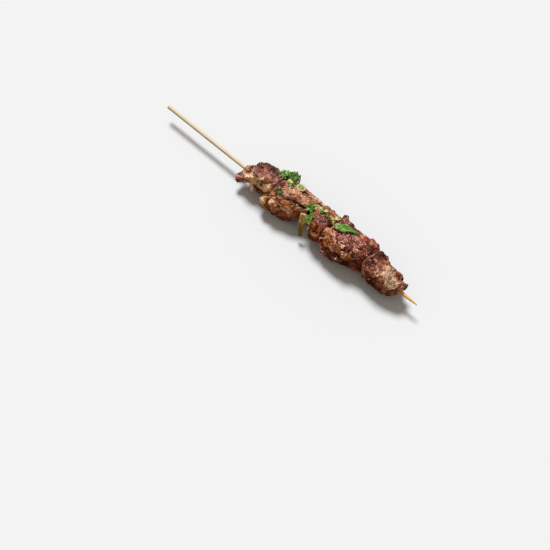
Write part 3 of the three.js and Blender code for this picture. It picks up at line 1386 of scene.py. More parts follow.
@dataclass
class Stick:
    """The bamboo stick: split, rounded, blunt at one end and sharpened at the other."""

    sides: int = 48
    rings: int = 420
    rounding: float = 0.25  # of the blunt end
    point_length: float = 17.0
    taper: tuple[tuple[float, float], ...] = (  # shares of the point's length, and of the radius there
        (1.0, 1.0),
        (0.86, 0.93),
        (0.35, 0.66),
    )
    tip: tuple[tuple[float, float], ...] = ((0.3, 0.42), (0.0, 0.2))  # from the end, and the radius there
    fibre_depth: float = 0.035
    fibre_count: float = 9.0
    fibre_length: float = 30.0
    finish: BambooFinish = BambooFinish()

    def build(self) -> bpy.types.Object:
        """Builds the stick as a closed tube with fibres along it.

        Returns:
            Its piece.
        """
        low, high = (np.array(corner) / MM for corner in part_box("stick"))
        length, radius = high[0] - low[0], (high[2] - low[2]) / 2
        knots = [(0.0, radius - self.rounding), (self.rounding, radius)]
        knots += [(length - share * self.point_length, size * radius) for share, size in self.taper]
        knots += [(length - back, size) for back, size in self.tip]
        places, sizes = np.array(knots).T
        x = np.sort(np.concatenate([np.linspace(0, length, self.rings), places[1:-1]]))
        angle = np.linspace(0, 2 * math.pi, self.sides, endpoint=False)
        ring = np.stack([np.zeros_like(angle), np.cos(angle), np.sin(angle)], axis=1)
        rows = np.repeat(x, self.sides)
        around = np.tile(ring, (len(x), 1))
        ahead = np.outer(rows, [1.0, 0.0, 0.0])
        streak = Noise(41).layered(around * self.fibre_count + ahead / self.fibre_length, 2)
        reach = np.repeat(np.interp(x, places, sizes), self.sides) - self.fibre_depth * (0.6 + streak)
        ends = np.array([[0.0, 0.0, 0.0], [length, 0.0, 0.0]])
        points = SKEWERING.start + np.vstack([around * reach[:, None] + ahead, ends])
        faces, caps = self._faces(len(x))
        shape = Shape(points, faces, {"reach": np.append(rows, [0, length])}, caps)
        piece = shape.piece("bamboo_stick", "bamboo", self.finish.material("bamboo"))
        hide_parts("stick")
        return piece

    def _faces(self, rings: int) -> tuple[Array, list[list[int]]]:
        """The quads of the tube, and the triangles of its ends, whose middles come after its rings.

        Args:
            rings: how many rings of points the tube has.

        Returns:
            The quads and the triangles, as indices of points.
        """
        grid, quads = tube_quads(rings, self.sides)
        first, last = grid[0].tolist(), grid[-1].tolist()
        blunt, tip = grid.size, grid.size + 1
        caps = [[b, a, blunt] for a, b in zip(first, first[1:] + first[:1])]
        caps += [[a, b, tip] for a, b in zip(last, last[1:] + last[:1])]
        return quads[:, ::-1], caps


# The onion


@dataclass
class OnionStrip:
    """The curled strip of browned onion between two chunks."""

    voxel: float = 0.18
    smoothing: int = 14
    vein_size: tuple[float, float, float] = (6.0, 0.7, 2.0)  # along, across and through the strip
    vein_height: float = 0.16
    wave_size: float = 3.0
    wave_height: float = 0.3
    finish: SoftFinish = SoftFinish(
        dark="74742a", light="e0c890", middle="b4863e", grain=1.4,
        roughness=0.35, coat=0.5, bump=0.12, subsurface=0.2,
    )

    def build(self) -> tuple[Surface, bpy.types.Object]:
        """Builds the strip.

        Returns:
            Its smooth base and its piece.
        """
        base = even_surface("onion_strip", self.voxel, self.smoothing)
        points = base.points
        noise = Noise(52)
        centre = points.mean(0)
        axis = np.linalg.svd(points - centre, full_matrices=False)[2]
        axis[0] *= -np.sign(axis[0][2])
        places = (points - centre) @ axis.T
        vein = noise.layered(places / self.vein_size, 2)
        shift = self.vein_height * vein + self.wave_height * noise.smooth(points / self.wave_size)
        moved = points + shift[:, None] * vertex_normals(points, base.faces)
        shape = Shape(moved, base.faces, {"tone": self._tone(places[:, 0], places[:, 1], vein)})
        piece = shape.piece("browned_onion", "onion", self.finish.material("onion"))
        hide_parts("onion_strip")
        return base, piece

    @staticmethod
    def _tone(long: Array, wide: Array, vein: Array) -> Array:
        """Finds the tone: pale at the edges and the ends, and olive in the middle of the lower half.

        Args:
            long: places along the strip.
            wide: places across it.
            vein: the noise of its veins.

        Returns:
            A value for each point, from 0 for olive to 1 for pale.
        """
        share = (long - long.min()) / np.ptp(long)
        edge = np.abs(wide) / np.abs(wide).max()
        lower = ease(share, 0.3, 0.65) * ease(1 - edge, 0.15, 0.5)
        tone = 0.55 + 0.4 * ease(edge, 0.55, 0.95) + 0.15 * vein
        tone -= 0.75 * lower + 0.15 * ease(1 - edge, 0.2, 0.6)
        return tone + 0.4 * ease(np.abs(share - 0.5), 0.43, 0.5)


# Herbs


class Cut(Enum):
    """How a piece of herb was cut."""

    LEAFLET = "leaflet"
    BLADE = "blade"


@dataclass(frozen=True)
class Sprig:
    """One piece of herb and how it lies."""

    along: float
    around: float
    length: float
    width: float
    turn: float = 0.0  # degrees from the stick's direction
    tone: float = 0.5  # 0 dark green, 1 pale
    lift: float = 0.4
    tilt: float = 0.0  # degrees that its far end stands up
    curl: float = 30.0  # degrees that it bends over its length
    cup: float = 0.25  # how far its sides rise, as a share of its width
    cut: Cut = Cut.LEAFLET
    fade: float = 0.0  # how much paler its near end is than its far end
    face: float | None = None  # degrees about the stick that its top is turned to, where not as the meat is


@dataclass
class Herbs:
    """Chopped herbs scattered on the shown side, and the slice of a stalk among them."""

    thickness: float = 0.28
    rows: int = 25
    columns: int = 11
    ring_steps: tuple[int, int] = (28, 8)  # around a ring and around its section
    squareness: float = 0.6  # of a ring's section, less than 1 for rounder corners than a square's
    squeeze: float = 0.86  # how much narrower a ring is than it is long
    overhead: float = 12.0  # how far above the meat leaves are laid from
    drape: float = 2.5  # the most that a leaf rises or falls with the meat
    drape_passes: int = 6
    under: float = 0.12  # how much paler leaves are below
    stalk: tuple[tuple[float, float, float, float], ...] = (  # each ring's size, hollow, height and tone
        (7.8, 0.56, 1.0, 1.0),
        (4.6, 0.5, 1.4, 0.15),
        (2.4, 0.08, 1.5, 0.5),
    )
    leaf_finish: SoftFinish = SoftFinish(
        dark="1c3a0a", light="c8cc84", middle="54861c", grain=1.6,
        roughness=0.42, coat=0.12, bump=0.06, subsurface=0.1,
    )
    stalk_finish: SoftFinish = SoftFinish(
        dark="547a1e", light="b8a47a", middle="94a044", grain=1.6,
        roughness=0.42, coat=0.3, bump=0.06, subsurface=0.15,
    )

    def sheet(self, sprig: Sprig, draw: np.random.Generator) -> tuple[Array, Array]:
        """A leaf's middle sheet, bent but not yet laid.

        Args:
            sprig: the piece.
            draw: where its small differences come from.

        Returns:
            Its points as rows by columns, and their tone.
        """
        u = np.linspace(0, 1, self.rows)[:, None]
        w = np.linspace(-1, 1, self.columns)[None, :]
        phase = draw.uniform(0, 2 * math.pi, 3)
        x = (u - 0.5) * sprig.length + 0 * w
        y = self._half_width(sprig, u, w, phase) * w * sprig.width / 2
        ripple = 0.09 * np.abs(w) * np.sin(2 * math.pi * 1.7 * u + phase[2] + 1.5 * w)
        fold = 0.06 * np.exp(-((w / 0.12) ** 2))
        z = (sprig.cup * np.abs(w) ** 1.6 + ripple - fold) * sprig.width
        bend = math.radians(max(sprig.curl, 1.0))
        radius = sprig.length / bend
        angle = (u - 0.5) * bend + 0 * w
        x, z = (radius + z) * np.sin(angle), (radius + z) * np.cos(angle) - radius
        vein = np.exp(-((w / 0.1) ** 2)) + 0.5 * (np.sin(9 * math.pi * (u + 0.35 * np.abs(w))) > 0.86)
        tone = sprig.tone + 0.18 * vein + 0.1 * draw.normal() + sprig.fade * (1 - u) ** 2
        return np.stack([x, y, z], axis=-1), tone

    @staticmethod
    def _half_width(sprig: Sprig, u: Array, w: Array, phase: Array) -> Array:
        """How wide a leaf is from its middle at each place, as a share of its greatest.

        Args:
            sprig: the piece.
            u: shares of its length.
            w: shares of its width, less than nothing on one side.
            phase: where the waves of its edge start.

        Returns:
            A share for each place.
        """
        if sprig.cut is Cut.BLADE:
            half = np.interp(u, [0, 0.06, 0.35, 0.7, 1], [0.7, 0.95, 1, 0.55, 0.04])
        else:
            half = np.sin(math.pi * np.clip(u * 0.93 + 0.06, 0, 1)) ** 0.6
            half = half * (1 + 0.38 * np.sin(2 * math.pi * 2.4 * u + phase[0]))
        return half * (1 + 0.1 * np.sin(2 * math.pi * 6 * u + phase[1]) * np.sign(w))

    def lay(self, flat: Array, sprig: Sprig, ground: Surface) -> Array:
        """Turns a sheet to its place and lets it follow the meat.

        Args:
            flat: the sheet's points in its own frame, as rows by columns.
            sprig: how it lies.
            ground: the surface that it lies on.

        Returns:
            The points on the kebab.
        """
        centre, up = self.seat(sprig, ground)
        ahead, side = lying_axes(up)
        turn, tilt = math.radians(sprig.turn), math.radians(sprig.tilt)
        front = math.cos(turn) * ahead + math.sin(turn) * side
        left = np.cross(up, front)
        raised = math.cos(tilt) * front + math.sin(tilt) * up
        points = centre + flat @ np.stack([raised, left, np.cross(raised, left)])
        if sprig.face is not None:
            return points
        rise = np.full(points.shape[:-1], -self.drape)
        for i in np.ndindex(rise.shape):
            start = Vector(points[i] + self.overhead * up)
            place = ground.tree.ray_cast(start, Vector(-up), 2 * self.overhead)[0]
            if place is not None:
                rise[i] = (np.array(place) - centre) @ up
        rise = np.clip(rise, -self.drape, self.drape)
        for _ in range(self.drape_passes):
            rise = (rise + np.roll(rise, 1, 0) + np.roll(rise, -1, 0)) / 3
            rise[0], rise[-1] = rise[1], rise[-2]
        return points + (rise + sprig.lift)[..., None] * up

    @staticmethod
    def seat(sprig: Sprig, ground: Surface) -> tuple[Array, Array]:
        """Where a piece sits, and the direction that its top faces.

        Args:
            sprig: the piece.
            ground: the surface that it lies on.

        Returns:
            A place and a direction.
        """
        centre, normal = ground.spot(sprig.along, sprig.around)
        away = SKEWERING.radial(sprig.around)
        if sprig.face is None:
            return centre, unit(0.5 * normal + 0.5 * away)
        return centre + sprig.lift * away, SKEWERING.radial(sprig.face)

    def leaf(self, sprig: Sprig, ground: Surface, draw: np.random.Generator) -> Shape:
        """A leaf with its thickness, as a closed mesh of quads.

        Args:
            sprig: the piece.
            ground: the surface that it lies on.
            draw: where its small differences come from.

        Returns:
            Its shape.
        """
        flat, tone = self.sheet(sprig, draw)
        middle = self.lay(flat, sprig, ground)
        normal = unit(np.cross(np.gradient(middle, axis=0), np.gradient(middle, axis=1)))
        half = self.thickness / 2
        sheets = [middle + half * normal, middle - half * normal]
        grid, quads = sheet_quads(self.rows, self.columns)
        rim = np.concatenate([grid[0], grid[1:, -1], grid[-1, -2::-1], grid[-2:0:-1, 0]])
        after = np.roll(rim, -1)
        band = np.stack([rim, after, after + grid.size, rim + grid.size], axis=1)
        faces = np.vstack([quads, quads[:, ::-1] + grid.size, band])
        points = np.vstack([sheet.reshape(-1, 3) for sheet in sheets])
        return Shape(points, faces, {"tone": np.concatenate([tone.ravel(), tone.ravel() + self.under])})

    def ring(self, sprig: Sprig, ground: Surface, inner: float, tone: float) -> Shape:
        """A slice of a hollow stalk, as a closed ring of quads.

        Args:
            sprig: how it lies, its length as the ring's width and its width as its height.
            ground: the surface that it lies on.
            inner: the hollow's share of its width.
            tone: its tone.

        Returns:
            Its shape.
        """
        steps, section = self.ring_steps
        outer = sprig.length / 2
        angle = np.linspace(0, 2 * math.pi, steps, endpoint=False)[:, None]
        turn = np.linspace(0, 2 * math.pi, section, endpoint=False)[None, :]
        thick, high = (np.sign(s) * np.abs(s) ** self.squareness for s in (np.cos(turn), np.sin(turn)))
        reach = outer * (1 + inner) / 2 + outer * (1 - inner) / 2 * thick
        z = sprig.width / 2 * high + 0 * angle
        x, y = reach * np.cos(angle), self.squeeze * reach * np.sin(angle)
        flat = np.stack([x, y, z], axis=-1).reshape(-1, 3)
        centre, up = self.seat(sprig, ground)
        if sprig.face is None:
            centre = centre + sprig.lift * up
        points = centre + flat @ np.stack([*lying_axes(up), up])
        grid = np.arange(steps * section).reshape(steps, section)
        right, down = np.roll(grid, -1, axis=0), np.roll(grid, -1, axis=1)
        faces = np.stack([grid, right, np.roll(right, -1, axis=1), down], axis=-1).reshape(-1, 4)
        return Shape(points, faces, {"tone": np.full(len(points), tone)})

    @staticmethod
    def laid() -> list[Sprig]:
        """The pieces that are placed one by one."""
        return [
            Sprig(120.7, -6, 6.0, 4.2, 20, 0.12, curl=40),
            Sprig(123.5, -46, 6.5, 3.6, -10, 0.1, curl=30),
            Sprig(146.8, -34, 7.2, 5.2, 40, 0.66, curl=45, cup=0.3, lift=1.0),
            Sprig(149.8, -42, 6.0, 4.2, -10, 0.62, curl=45, cup=0.25, lift=0.9),
            Sprig(152.6, -47, 4.6, 2.8, -25, 1.0, curl=40, lift=0.8),
            Sprig(152.4, 0, 9.4, 5.2, -60, 0.3, curl=35, cup=0.2, lift=1.0, fade=0.3),
            Sprig(149.4, 6, 6.0, 2.6, -70, 0.9, curl=30, lift=1.6),
            Sprig(157.0, -50, 3.4, 2.2, 50, 1.1, curl=25, lift=0.7),
            Sprig(163.0, -50, 3.6, 2.0, 10, 1.15, curl=25, lift=0.7),
            Sprig(166.0, -46, 3.0, 2.2, -30, 0.9, curl=25, lift=0.7),
            Sprig(159.9, -42, 3.6, 2.4, 35, 0.2, curl=20),
            Sprig(165.8, -62, 3.8, 2.4, 60, 0.95, curl=30, lift=0.9),
            Sprig(166.9, -50, 3.2, 2.2, 20, 0.3, curl=30, lift=0.9),
            Sprig(178.8, -50, 18.2, 6.2, 17, 0.14, lift=1.1, curl=26, cup=0.2, cut=Cut.BLADE, fade=0.32),
            Sprig(171.0, -40, 5.4, 3.4, 25, 0.5, curl=30, lift=0.9),
            Sprig(119.6, -60, 3.6, 2.6, 30, 1.2, lift=0.7, curl=30),
            Sprig(121.5, -56, 3.0, 2.4, -20, 1.1, lift=0.6, curl=30),
        ]

    @staticmethod
    def bunch(draw: np.random.Generator, count: int = 26) -> list[Sprig]:
        """The leaves of the curly bunch, by draw.

        Args:
            draw: what they are drawn from.
            count: how many there are.

        Returns:
            The sprigs.
        """
        return [
            Sprig(
                115.8 + draw.uniform(-6.0, 6.0),
                -78 + draw.uniform(-14, 12),
                draw.uniform(6.0, 9.0),
                draw.uniform(4.4, 6.4),
                draw.uniform(0, 360),
                draw.choice([0.1, 0.2, 0.35, 0.5, 0.7]),
                lift=draw.uniform(0.4, 3.6),
                tilt=draw.uniform(-20, 20),
                curl=draw.uniform(30, 90),
                cup=draw.uniform(0.1, 0.35),
                face=draw.uniform(-70, -15),
            )
            for _ in range(count)
        ]

    def build(self, ground: Surface) -> tuple[bpy.types.Object, bpy.types.Object]:
        """Builds the stalk's slice, and all the other herbs as one piece.

        Args:
            ground: the surface that they lie on.

        Returns:
            The slice and the herbs.
        """
        draw = np.random.default_rng(77)
        shapes = [self.leaf(sprig, ground, draw) for sprig in self.laid() + self.bunch(draw)]
        shapes.append(self.ring(Sprig(155.0, -42, 3.4, 1.2, lift=0.6), ground, 0.5, 0.3))
        stalk = [
            self.ring(Sprig(129.6, -62, size, high, lift=1.0, face=-38), ground, inner, tone)
            for size, inner, high, tone in self.stalk
        ]
        slice_piece = Shape.joined(stalk).piece("stalk_slice", "herb", self.stalk_finish.material("stalk"))
        leaves = Shape.joined(shapes).piece("chopped_herbs", "herb", self.leaf_finish.material("herb"))
        return slice_piece, leaves


# Sinew and crumbs


@dataclass(frozen=True)
class Strand:
    """One strand of sinew or fat that stands off the crust."""

    places: tuple[tuple[float, float, float], ...]  # along, around and lift
    width: float
    thickness: float
    tone: float = 0.6


@dataclass
class Sinew:
    """Loose strands of sinew and fat."""

    strands: tuple[Strand, ...] = (
        Strand(
            ((95, 44, -0.4), (96.2, 58, 0.7), (97.2, 70, 1.9), (98.2, 78, 3.6), (98.9, 82, 5.2)),
            width=3.3, thickness=2.0, tone=0.95,
        ),
        Strand(
            ((128, -78, 0.1), (134, -72, 0.5), (140, -68, 0.6), (146, -68, 0.6), (152, -66, 0.1)),
            width=1.4, thickness=0.7, tone=0.35,
        ),
        Strand(((130, -88, 0.1), (137, -84, 0.7), (144, -84, 0.9), (151, -80, 0.3)), 1.2, 0.6, 0.5),
        Strand(((138, -62, 0.1), (143, -66, 0.7), (148, -70, 0.9), (155, -72, 0.2)), 1.0, 0.6, 1.0),
        Strand(((152, 68, -0.2), (153, 58, 0.7), (153.8, 42, 0.7), (153.6, 26, 0.1)), 1.2, 0.8, 0.8),
        Strand(((230.5, -30, 0.1), (233.5, -42, 0.5), (236.4, -46, 0.7)), 1.2, 0.8, 0.5),
        Strand(
            ((204.8, -46, -0.3), (205.8, -34, 0.15), (205.2, -22, 0.15), (205.8, -10, -0.3)),
            width=0.9, thickness=0.6, tone=0.3,
        ),
        Strand(((205.6, -6, -0.3), (205, 6, 0.2), (205.6, 16, 0.1), (204.6, 26, -0.3)), 0.9, 0.6, 0.2),
        Strand(
            ((224.4, 68, -0.3), (228.6, 40, 0.4), (232, 8, 0.6), (233.4, -26, 0.5), (231, -46, -0.3)),
            width=1.7, thickness=1.3, tone=0.0,
        ),
        Strand(((225.6, 54, 0.4), (229, 34, 0.9), (231.8, 8, 1.1), (233, -16, 0.7)), 0.7, 0.5, 0.8),
        Strand(((136, -13, -0.2), (137.4, -8, 0.6), (138.2, 0, 0.5), (137.6, 7, -0.1)), 0.7, 0.5, 0.85),
    )
    steps: int = 40
    section: int = 10
    wander: float = 0.25
    finish: SoftFinish = SoftFinish(
        dark="6e3226", light="ead0b4", middle="b47e6a", grain=1.0,
        roughness=0.38, coat=0.5, bump=0.1, subsurface=0.25,
    )

    def tube(self, strand: Strand, ground: Surface, noise: Noise) -> Shape:
        """A strand as a closed tube with tapered ends.

        Args:
            strand: the strand.
            ground: the surface that it lies on.
            noise: what makes it uneven.

        Returns:
            Its shape.
        """
        knots = np.array([ground.spot(*place)[0] for place in strand.places])
        path = smooth_path(knots, self.steps)
        path = path + self.wander * noise.sway(path / 2, 9)
        ahead = unit(np.gradient(path, axis=0))
        outward = unit((path - SKEWERING.start) * (0, 1, 1))
        side = unit(np.cross(ahead, outward))
        top = np.cross(side, ahead)
        share = np.linspace(0, 1, len(path))
        swell = np.clip(np.sin(math.pi * share), 0, 1) ** 0.4 * (1 + 0.3 * noise.smooth(path / 1.5)) + 0.03
        angle = np.linspace(0, 2 * math.pi, self.section, endpoint=False)[None, :, None]
        offset = np.cos(angle) * side[:, None] * strand.width / 2
        offset = offset + np.sin(angle) * top[:, None] * strand.thickness / 2
        points = (path[:, None] + swell[:, None, None] * offset).reshape(-1, 3)
        grid, quads = tube_quads(len(path), self.section)
        caps = [
            [ring[-i - 1], ring[-i - 2], ring[i + 1], ring[i]]
            for ring in (grid[0], grid[-1][::-1])
            for i in range(self.section // 2 - 1)
        ]
        tone = strand.tone + 0.25 * noise.smooth(points / 2)
        return Shape(points, np.vstack([quads, caps]), {"tone": tone})

    def build(self, ground: Surface) -> bpy.types.Object:
        """Builds all the strands as one piece.

        Args:
            ground: the surface that they lie on.

        Returns:
            Their piece.
        """
        noise = Noise(63)
        shapes = [self.tube(strand, ground, noise) for strand in self.strands]
        return Shape.joined(shapes).piece("sinew_strands", "fat", self.finish.material("sinew"))


@dataclass
class Crumbs:
    """Crumbs of crust that stick to the meat all round."""

    count: int = 150
    first: float = 86.0
    last: float = 234.0
    sizes: tuple[float, float] = (0.3, 0.65)  # radius
    lowest: float = 1.5  # above the floor
    clear: float = 2.5  # of the onion
    sunk: float = 0.25  # how far the middle is above the meat, in radii
    finish: SoftFinish = SoftFinish(
        dark="3c1c0e", light="b88058", middle="7a4424", grain=0.9,
        roughness=0.4, coat=0.4, bump=0.1, subsurface=0.0,
    )

    def build(self, ground: Surface, onion: Surface) -> bpy.types.Object:
        """Builds all the crumbs as one piece, clear of the onion.

        Args:
            ground: the surface that they stick to.
            onion: the strip that they keep clear of.

        Returns:
            Their piece.
        """
        draw = np.random.default_rng(95)
        noise = Noise(96)
        points, faces = self._cube_ball(5)
        shapes = []
        for _ in range(self.count):
            along, around = draw.uniform(self.first, self.last), draw.uniform(-180, 180)
            radius = draw.uniform(*self.sizes) * draw.uniform(0.6, 1)
            place, normal = ground.spot(along, around)
            if place[2] < self.lowest or onion.tree.find_nearest(Vector(place), self.clear)[0] is not None:
                continue
            size = radius * draw.uniform(0.6, 1.4, 3)
            lumps = 1 + 0.5 * noise.smooth(points * 1.6 + draw.uniform(0, 99, 3))
            crumb = place + self.sunk * radius * normal + points * size * lumps[:, None]
            shapes.append(Shape(crumb, faces, {"tone": np.full(len(points), draw.uniform(0, 0.8))}))
        return Shape.joined(shapes).piece("crust_crumbs", "lamb", self.finish.material("crumb"))

    @staticmethod
    def _cube_ball(cuts: int) -> tuple[Array, Array]:
        """A ball of quads, from a cube with each side cut into squares.

        Args:
            cuts: how many squares along each side.

        Returns:
            Its points and its quads.
        """
        line = np.tan(np.linspace(-1, 1, cuts + 1) * math.pi / 4)
        a, b = (m.ravel() for m in np.meshgrid(line, line, indexing="ij"))
        _, square = sheet_quads(cuts + 1, cuts + 1)
        points, faces = [], []
        for axis, sign in itertools.product(range(3), (1, -1)):
            side = np.stack([np.full_like(a, sign), a * sign, b], axis=1)
            points.append(np.roll(side, axis, axis=1))
            faces.append(square + len(a) * len(faces))
        points, index = np.unique(np.round(np.vstack(points), 6), axis=0, return_inverse=True)
        return unit(points), index.ravel()[np.vstack(faces)]


# Studio


@dataclass
class Studio:
    """Floor, light and camera."""

    azimuth: float = 43.765
    elevation: float = 60.0
    camera_at: tuple[float, float, float] = (354.47, -383.56, 807.82)
    lens: float = 85.0
    key_lean: float = 34.0  # degrees of the key light from overhead, away from the camera
    key_turn: float = 8.0  # degrees that it is turned to the left
    key_strength: float = 3.7
    key_size: float = 18.0
    fill: float = 0.36
    fill_tint: str = "fff2e4"
    surround: float = 0.9  # how bright the background looks
    floor_tint: str = "d6d9dc"
    bounce: str = "7c5c3e"  # what the floor sends back up
    floor_size: float = 20.0  # in metres

    def build(self) -> None:
        """Builds the floor, the lights and the camera."""
        scene = bpy.context.scene
        scene.view_settings.view_transform = "Standard"
        self._floor()
        self._key(scene)
        self._surround(scene)
        self._camera(scene)

    def _camera(self, scene: bpy.types.Scene) -> None:
        """The camera at the photo's viewing angle.

        Args:
            scene: the scene.
        """
        camera = bpy.data.objects.new("camera", bpy.data.cameras.new("camera"))
        scene.collection.objects.link(camera)
        a, e = math.radians(self.azimuth), math.radians(self.elevation)
        back = Vector((math.sin(a) * math.cos(e), -math.cos(a) * math.cos(e), math.sin(e)))
        camera.location = Vector(self.camera_at) * MM
        camera.rotation_euler = (-back).to_track_quat("-Z", "Y").to_euler()
        camera.data.lens = self.lens
        camera.data.clip_start = 0.01
        scene.camera = camera

    def _floor(self) -> None:
        """A wide pale floor."""
        bpy.ops.mesh.primitive_plane_add(size=self.floor_size)
        floor = bpy.context.object
        floor.name = "floor"
        material, wiring = new_material("floor")
        seen = wiring.add("LightPath").outputs["Is Camera Ray"]
        colour = wiring.mix(seen, tint(self.bounce), tint(self.floor_tint))
        finish_material(wiring, {"Base Color": colour, "Roughness": 0.9, "Specular IOR Level": 0.1})
        floor.data.materials.append(material)

    def _key(self, scene: bpy.types.Scene) -> None:
        """A soft key light from beyond the kebab.

        Args:
            scene: the scene.
        """
        turn = math.radians(self.azimuth + self.key_turn)
        lean = math.radians(self.key_lean)
        toward = Vector((-math.sin(turn) * math.sin(lean), math.cos(turn) * math.sin(lean), math.cos(lean)))
        data = bpy.data.lights.new("key", "SUN")
        data.energy = self.key_strength
        data.angle = math.radians(self.key_size)
        key = bpy.data.objects.new("key", data)
        key.rotation_euler = toward.to_track_quat("Z", "Y").to_euler()
        scene.collection.objects.link(key)

    def _surround(self, scene: bpy.types.Scene) -> None:
        """An even fill from all round, and the plain background that the camera sees.

        Args:
            scene: the scene.
        """
        scene.world = bpy.data.worlds.new("surround")
        scene.world.use_nodes = True
        wiring = Wiring(scene.world.node_tree)
        background = scene.world.node_tree.nodes["Background"]
        seen = wiring.add("LightPath").outputs["Is Camera Ray"]
        sources = {"Value": seen, "To Min": self.fill, "To Max": self.surround}
        strength = wiring.add("MapRange", sources).outputs["Result"]
        wiring.tree.links.new(strength, background.inputs["Strength"])
        colour = wiring.mix(seen, tint(self.fill_tint), (1, 1, 1, 1))
        wiring.tree.links.new(colour, background.inputs["Color"])


# The whole


# In the tables below, the darker and paler patches are partly the crust's own tone and partly painted shade
# and painted light
FAT, CHAR, BLUSH, AMBER, GRAIN, SLEEK, DUSK, BRIGHT = Tone


def chunk_1() -> Chunk:
    """The chunk nearest the blunt end: fat on top, and charred along its lower side."""
    return Chunk(
        "lamb_chunk_1",
        seed=11,
        fibres=25,
        finish=LambFinish(
            flesh="ae7854", crust="7c462a", pale="e2b698", fat="f0cca0",
            blush="98605c", char="3a2826",
        ),
        patches={
            CHAR: (
                (93, -50, 6, 4, 20, 0.7), (100, -72, 13, 4.2, 0, 0.85, -1), (88.8, 8, 4, 1.3, 10, 0.7),
                (93.5, -10, 4, 1.4, -20, 0.6),
            ),
            DUSK: (
                (99, -66, 13, 5, 0, 1.1), (87.5, -30, 4.5, 6, 0, 1.2, -1.2), (86, -78, 5, 8, 0, 0.4, -1.6),
                (95, -46, 9, 7, 10, 0.9), (113, -36, 4, 7), (89.5, 4, 4.5, 3.4), (106, -52, 8, 4, 0, 0.8),
                (84.5, 40, 3, 4, 0, 0.7), (103, 66, 12, 3.2, 0, 0.8, -0.6),
            ),
            BLUSH: (
                (99, -22, 10, 4.4), (108, -34, 5, 5), (113, -24, 3, 7, 0, 0.8), (86, 72, 3, 4, 0, 0.8),
                (86, 56, 4.5, 4.5, 0, 0.95),
            ),
            # The second paler patch, at 99 along, is painted light on the fat band that stands out
            BRIGHT: ((102.5, -33, 2.4, 2, 0, 0.6), (99, 32, 12, 5, -10, 1.2)),
            FAT: (
                (93, 38, 5.5, 3.4, -30), (97, 24, 6, 3.6, -20), (103.5, 46, 6.5, 4.2, 10, 0.9),
                (107, 22, 7, 4.2, 0, 0.9),
            ),
            GRAIN: ((107, 18, 7, 5),),
            AMBER: ((112.5, 26, 4.5, 3.2, 0, 0.9),),
            SLEEK: ((92, 40, 7, 4),),
        },
        lines=(
            Line(((88, 50), (91, 36), (95, 18), (100, 4), (104, -8)), 1.6, 0.8, FAT),
            Line(((89, -20), (93, -36), (98, -40), (103, -42)), 0.8, -1.0, CHAR, 0.8),
            Line(((92, 52), (98, 36), (103, 24), (106, 4), (110, -10)), 0.9, -0.9),
        ),
    )


def chunk_2() -> Chunk:
    """The long chunk behind the onion: browned fat on its nub, and coarse rosy meat in its middle."""
    return Chunk(
        "lamb_chunk_2",
        seed=22,
        fibres=4,
        finish=LambFinish(
            flesh="ac734c", crust="804626", pale="dcae8e", fat="d6b080",
            blush="9c6258", light=0.52,
        ),
        patches={
            FAT: ((111.5, 64, 5, 5), (119.8, 36, 2.4, 3, 0, 0.9), (133, 42, 6, 3, 0, 0.45, -0.5)),
            BRIGHT: (
                (110.5, 60, 3, 5, 0, 0.3), (119.5, 38, 2.6, 3.2, 0, 0.7, 0.9),
                (124, 50, 5, 2.6, 0, 0.7, 0.7), (133, 34, 9, 6, 0, 0.55), (127, 12, 6, 6, 0, 0.35),
                (136, -32, 7, 4.5, 0, 0.35), (126, -30, 5, 4, 0, 0.15),
            ),
            AMBER: (
                (115, 54, 3, 2.4, 0, 0.7), (129, 24, 3.6, 2.6, 0, 0.7), (130.5, 12, 4.5, 3, 0, 0.8),
                (139, 12, 4, 2.6, 0, 0.5),
            ),
            # These darker patches include painted shade: in the pocket at 126 along, under the large leaf at
            # 146.8 along and along the lower edge at 128 along
            DUSK: (
                (116.2, 50, 1.4, 3.4, 0, 0.9, -0.7), (126, 41, 1.8, 1.6, 0, 1, -1.6),
                (146.8, -18, 3, 2.6, 0, 1.3, -1.2), (128, 88, 16, 5, 0, 0.8), (117.5, -28, 3.5, 7),
                (138.5, -14, 5.5, 1.8),
            ),
            BLUSH: (
                (122.5, 44, 3.4, 3, 0, 0.8), (124.5, -20, 3.5, 3, 0, 0.8), (118, -28, 4, 7, 0, 0.8),
                (129, -16, 6, 4, 0, 0.6), (136, -74, 9, 4, 0, 0.8),
            ),
            # The char at 147.2 along is painted shade under the large leaf; the rest is char
            CHAR: ((147.2, -16, 2.6, 2.2, 0, 0.8), (117, -34, 2, 3, 0, 0.6), (140, -15, 4, 1.2, 0, 0.8)),
            SLEEK: ((133, 46, 9, 5.5),),
            GRAIN: ((128, -10, 13, 9, 0, 0.8),),
        },
        lines=(
            Line(((133.5, -11), (137, -13), (141, -16), (146, -26)), 1.0, -1.3, CHAR, 0.8),
            Line(((104, 80), (112, 44), (118, 22), (120, 6)), 0.9, -1.0),
            Line(((127, -72), (134, -68), (141, -60), (148, -60)), 0.9, -0.8, CHAR, 0.4),
            Line(((128, -86), (134, -82), (141, -78), (148, -76)), 1.0, 0.7, BLUSH, 0.9),
        ),
    )


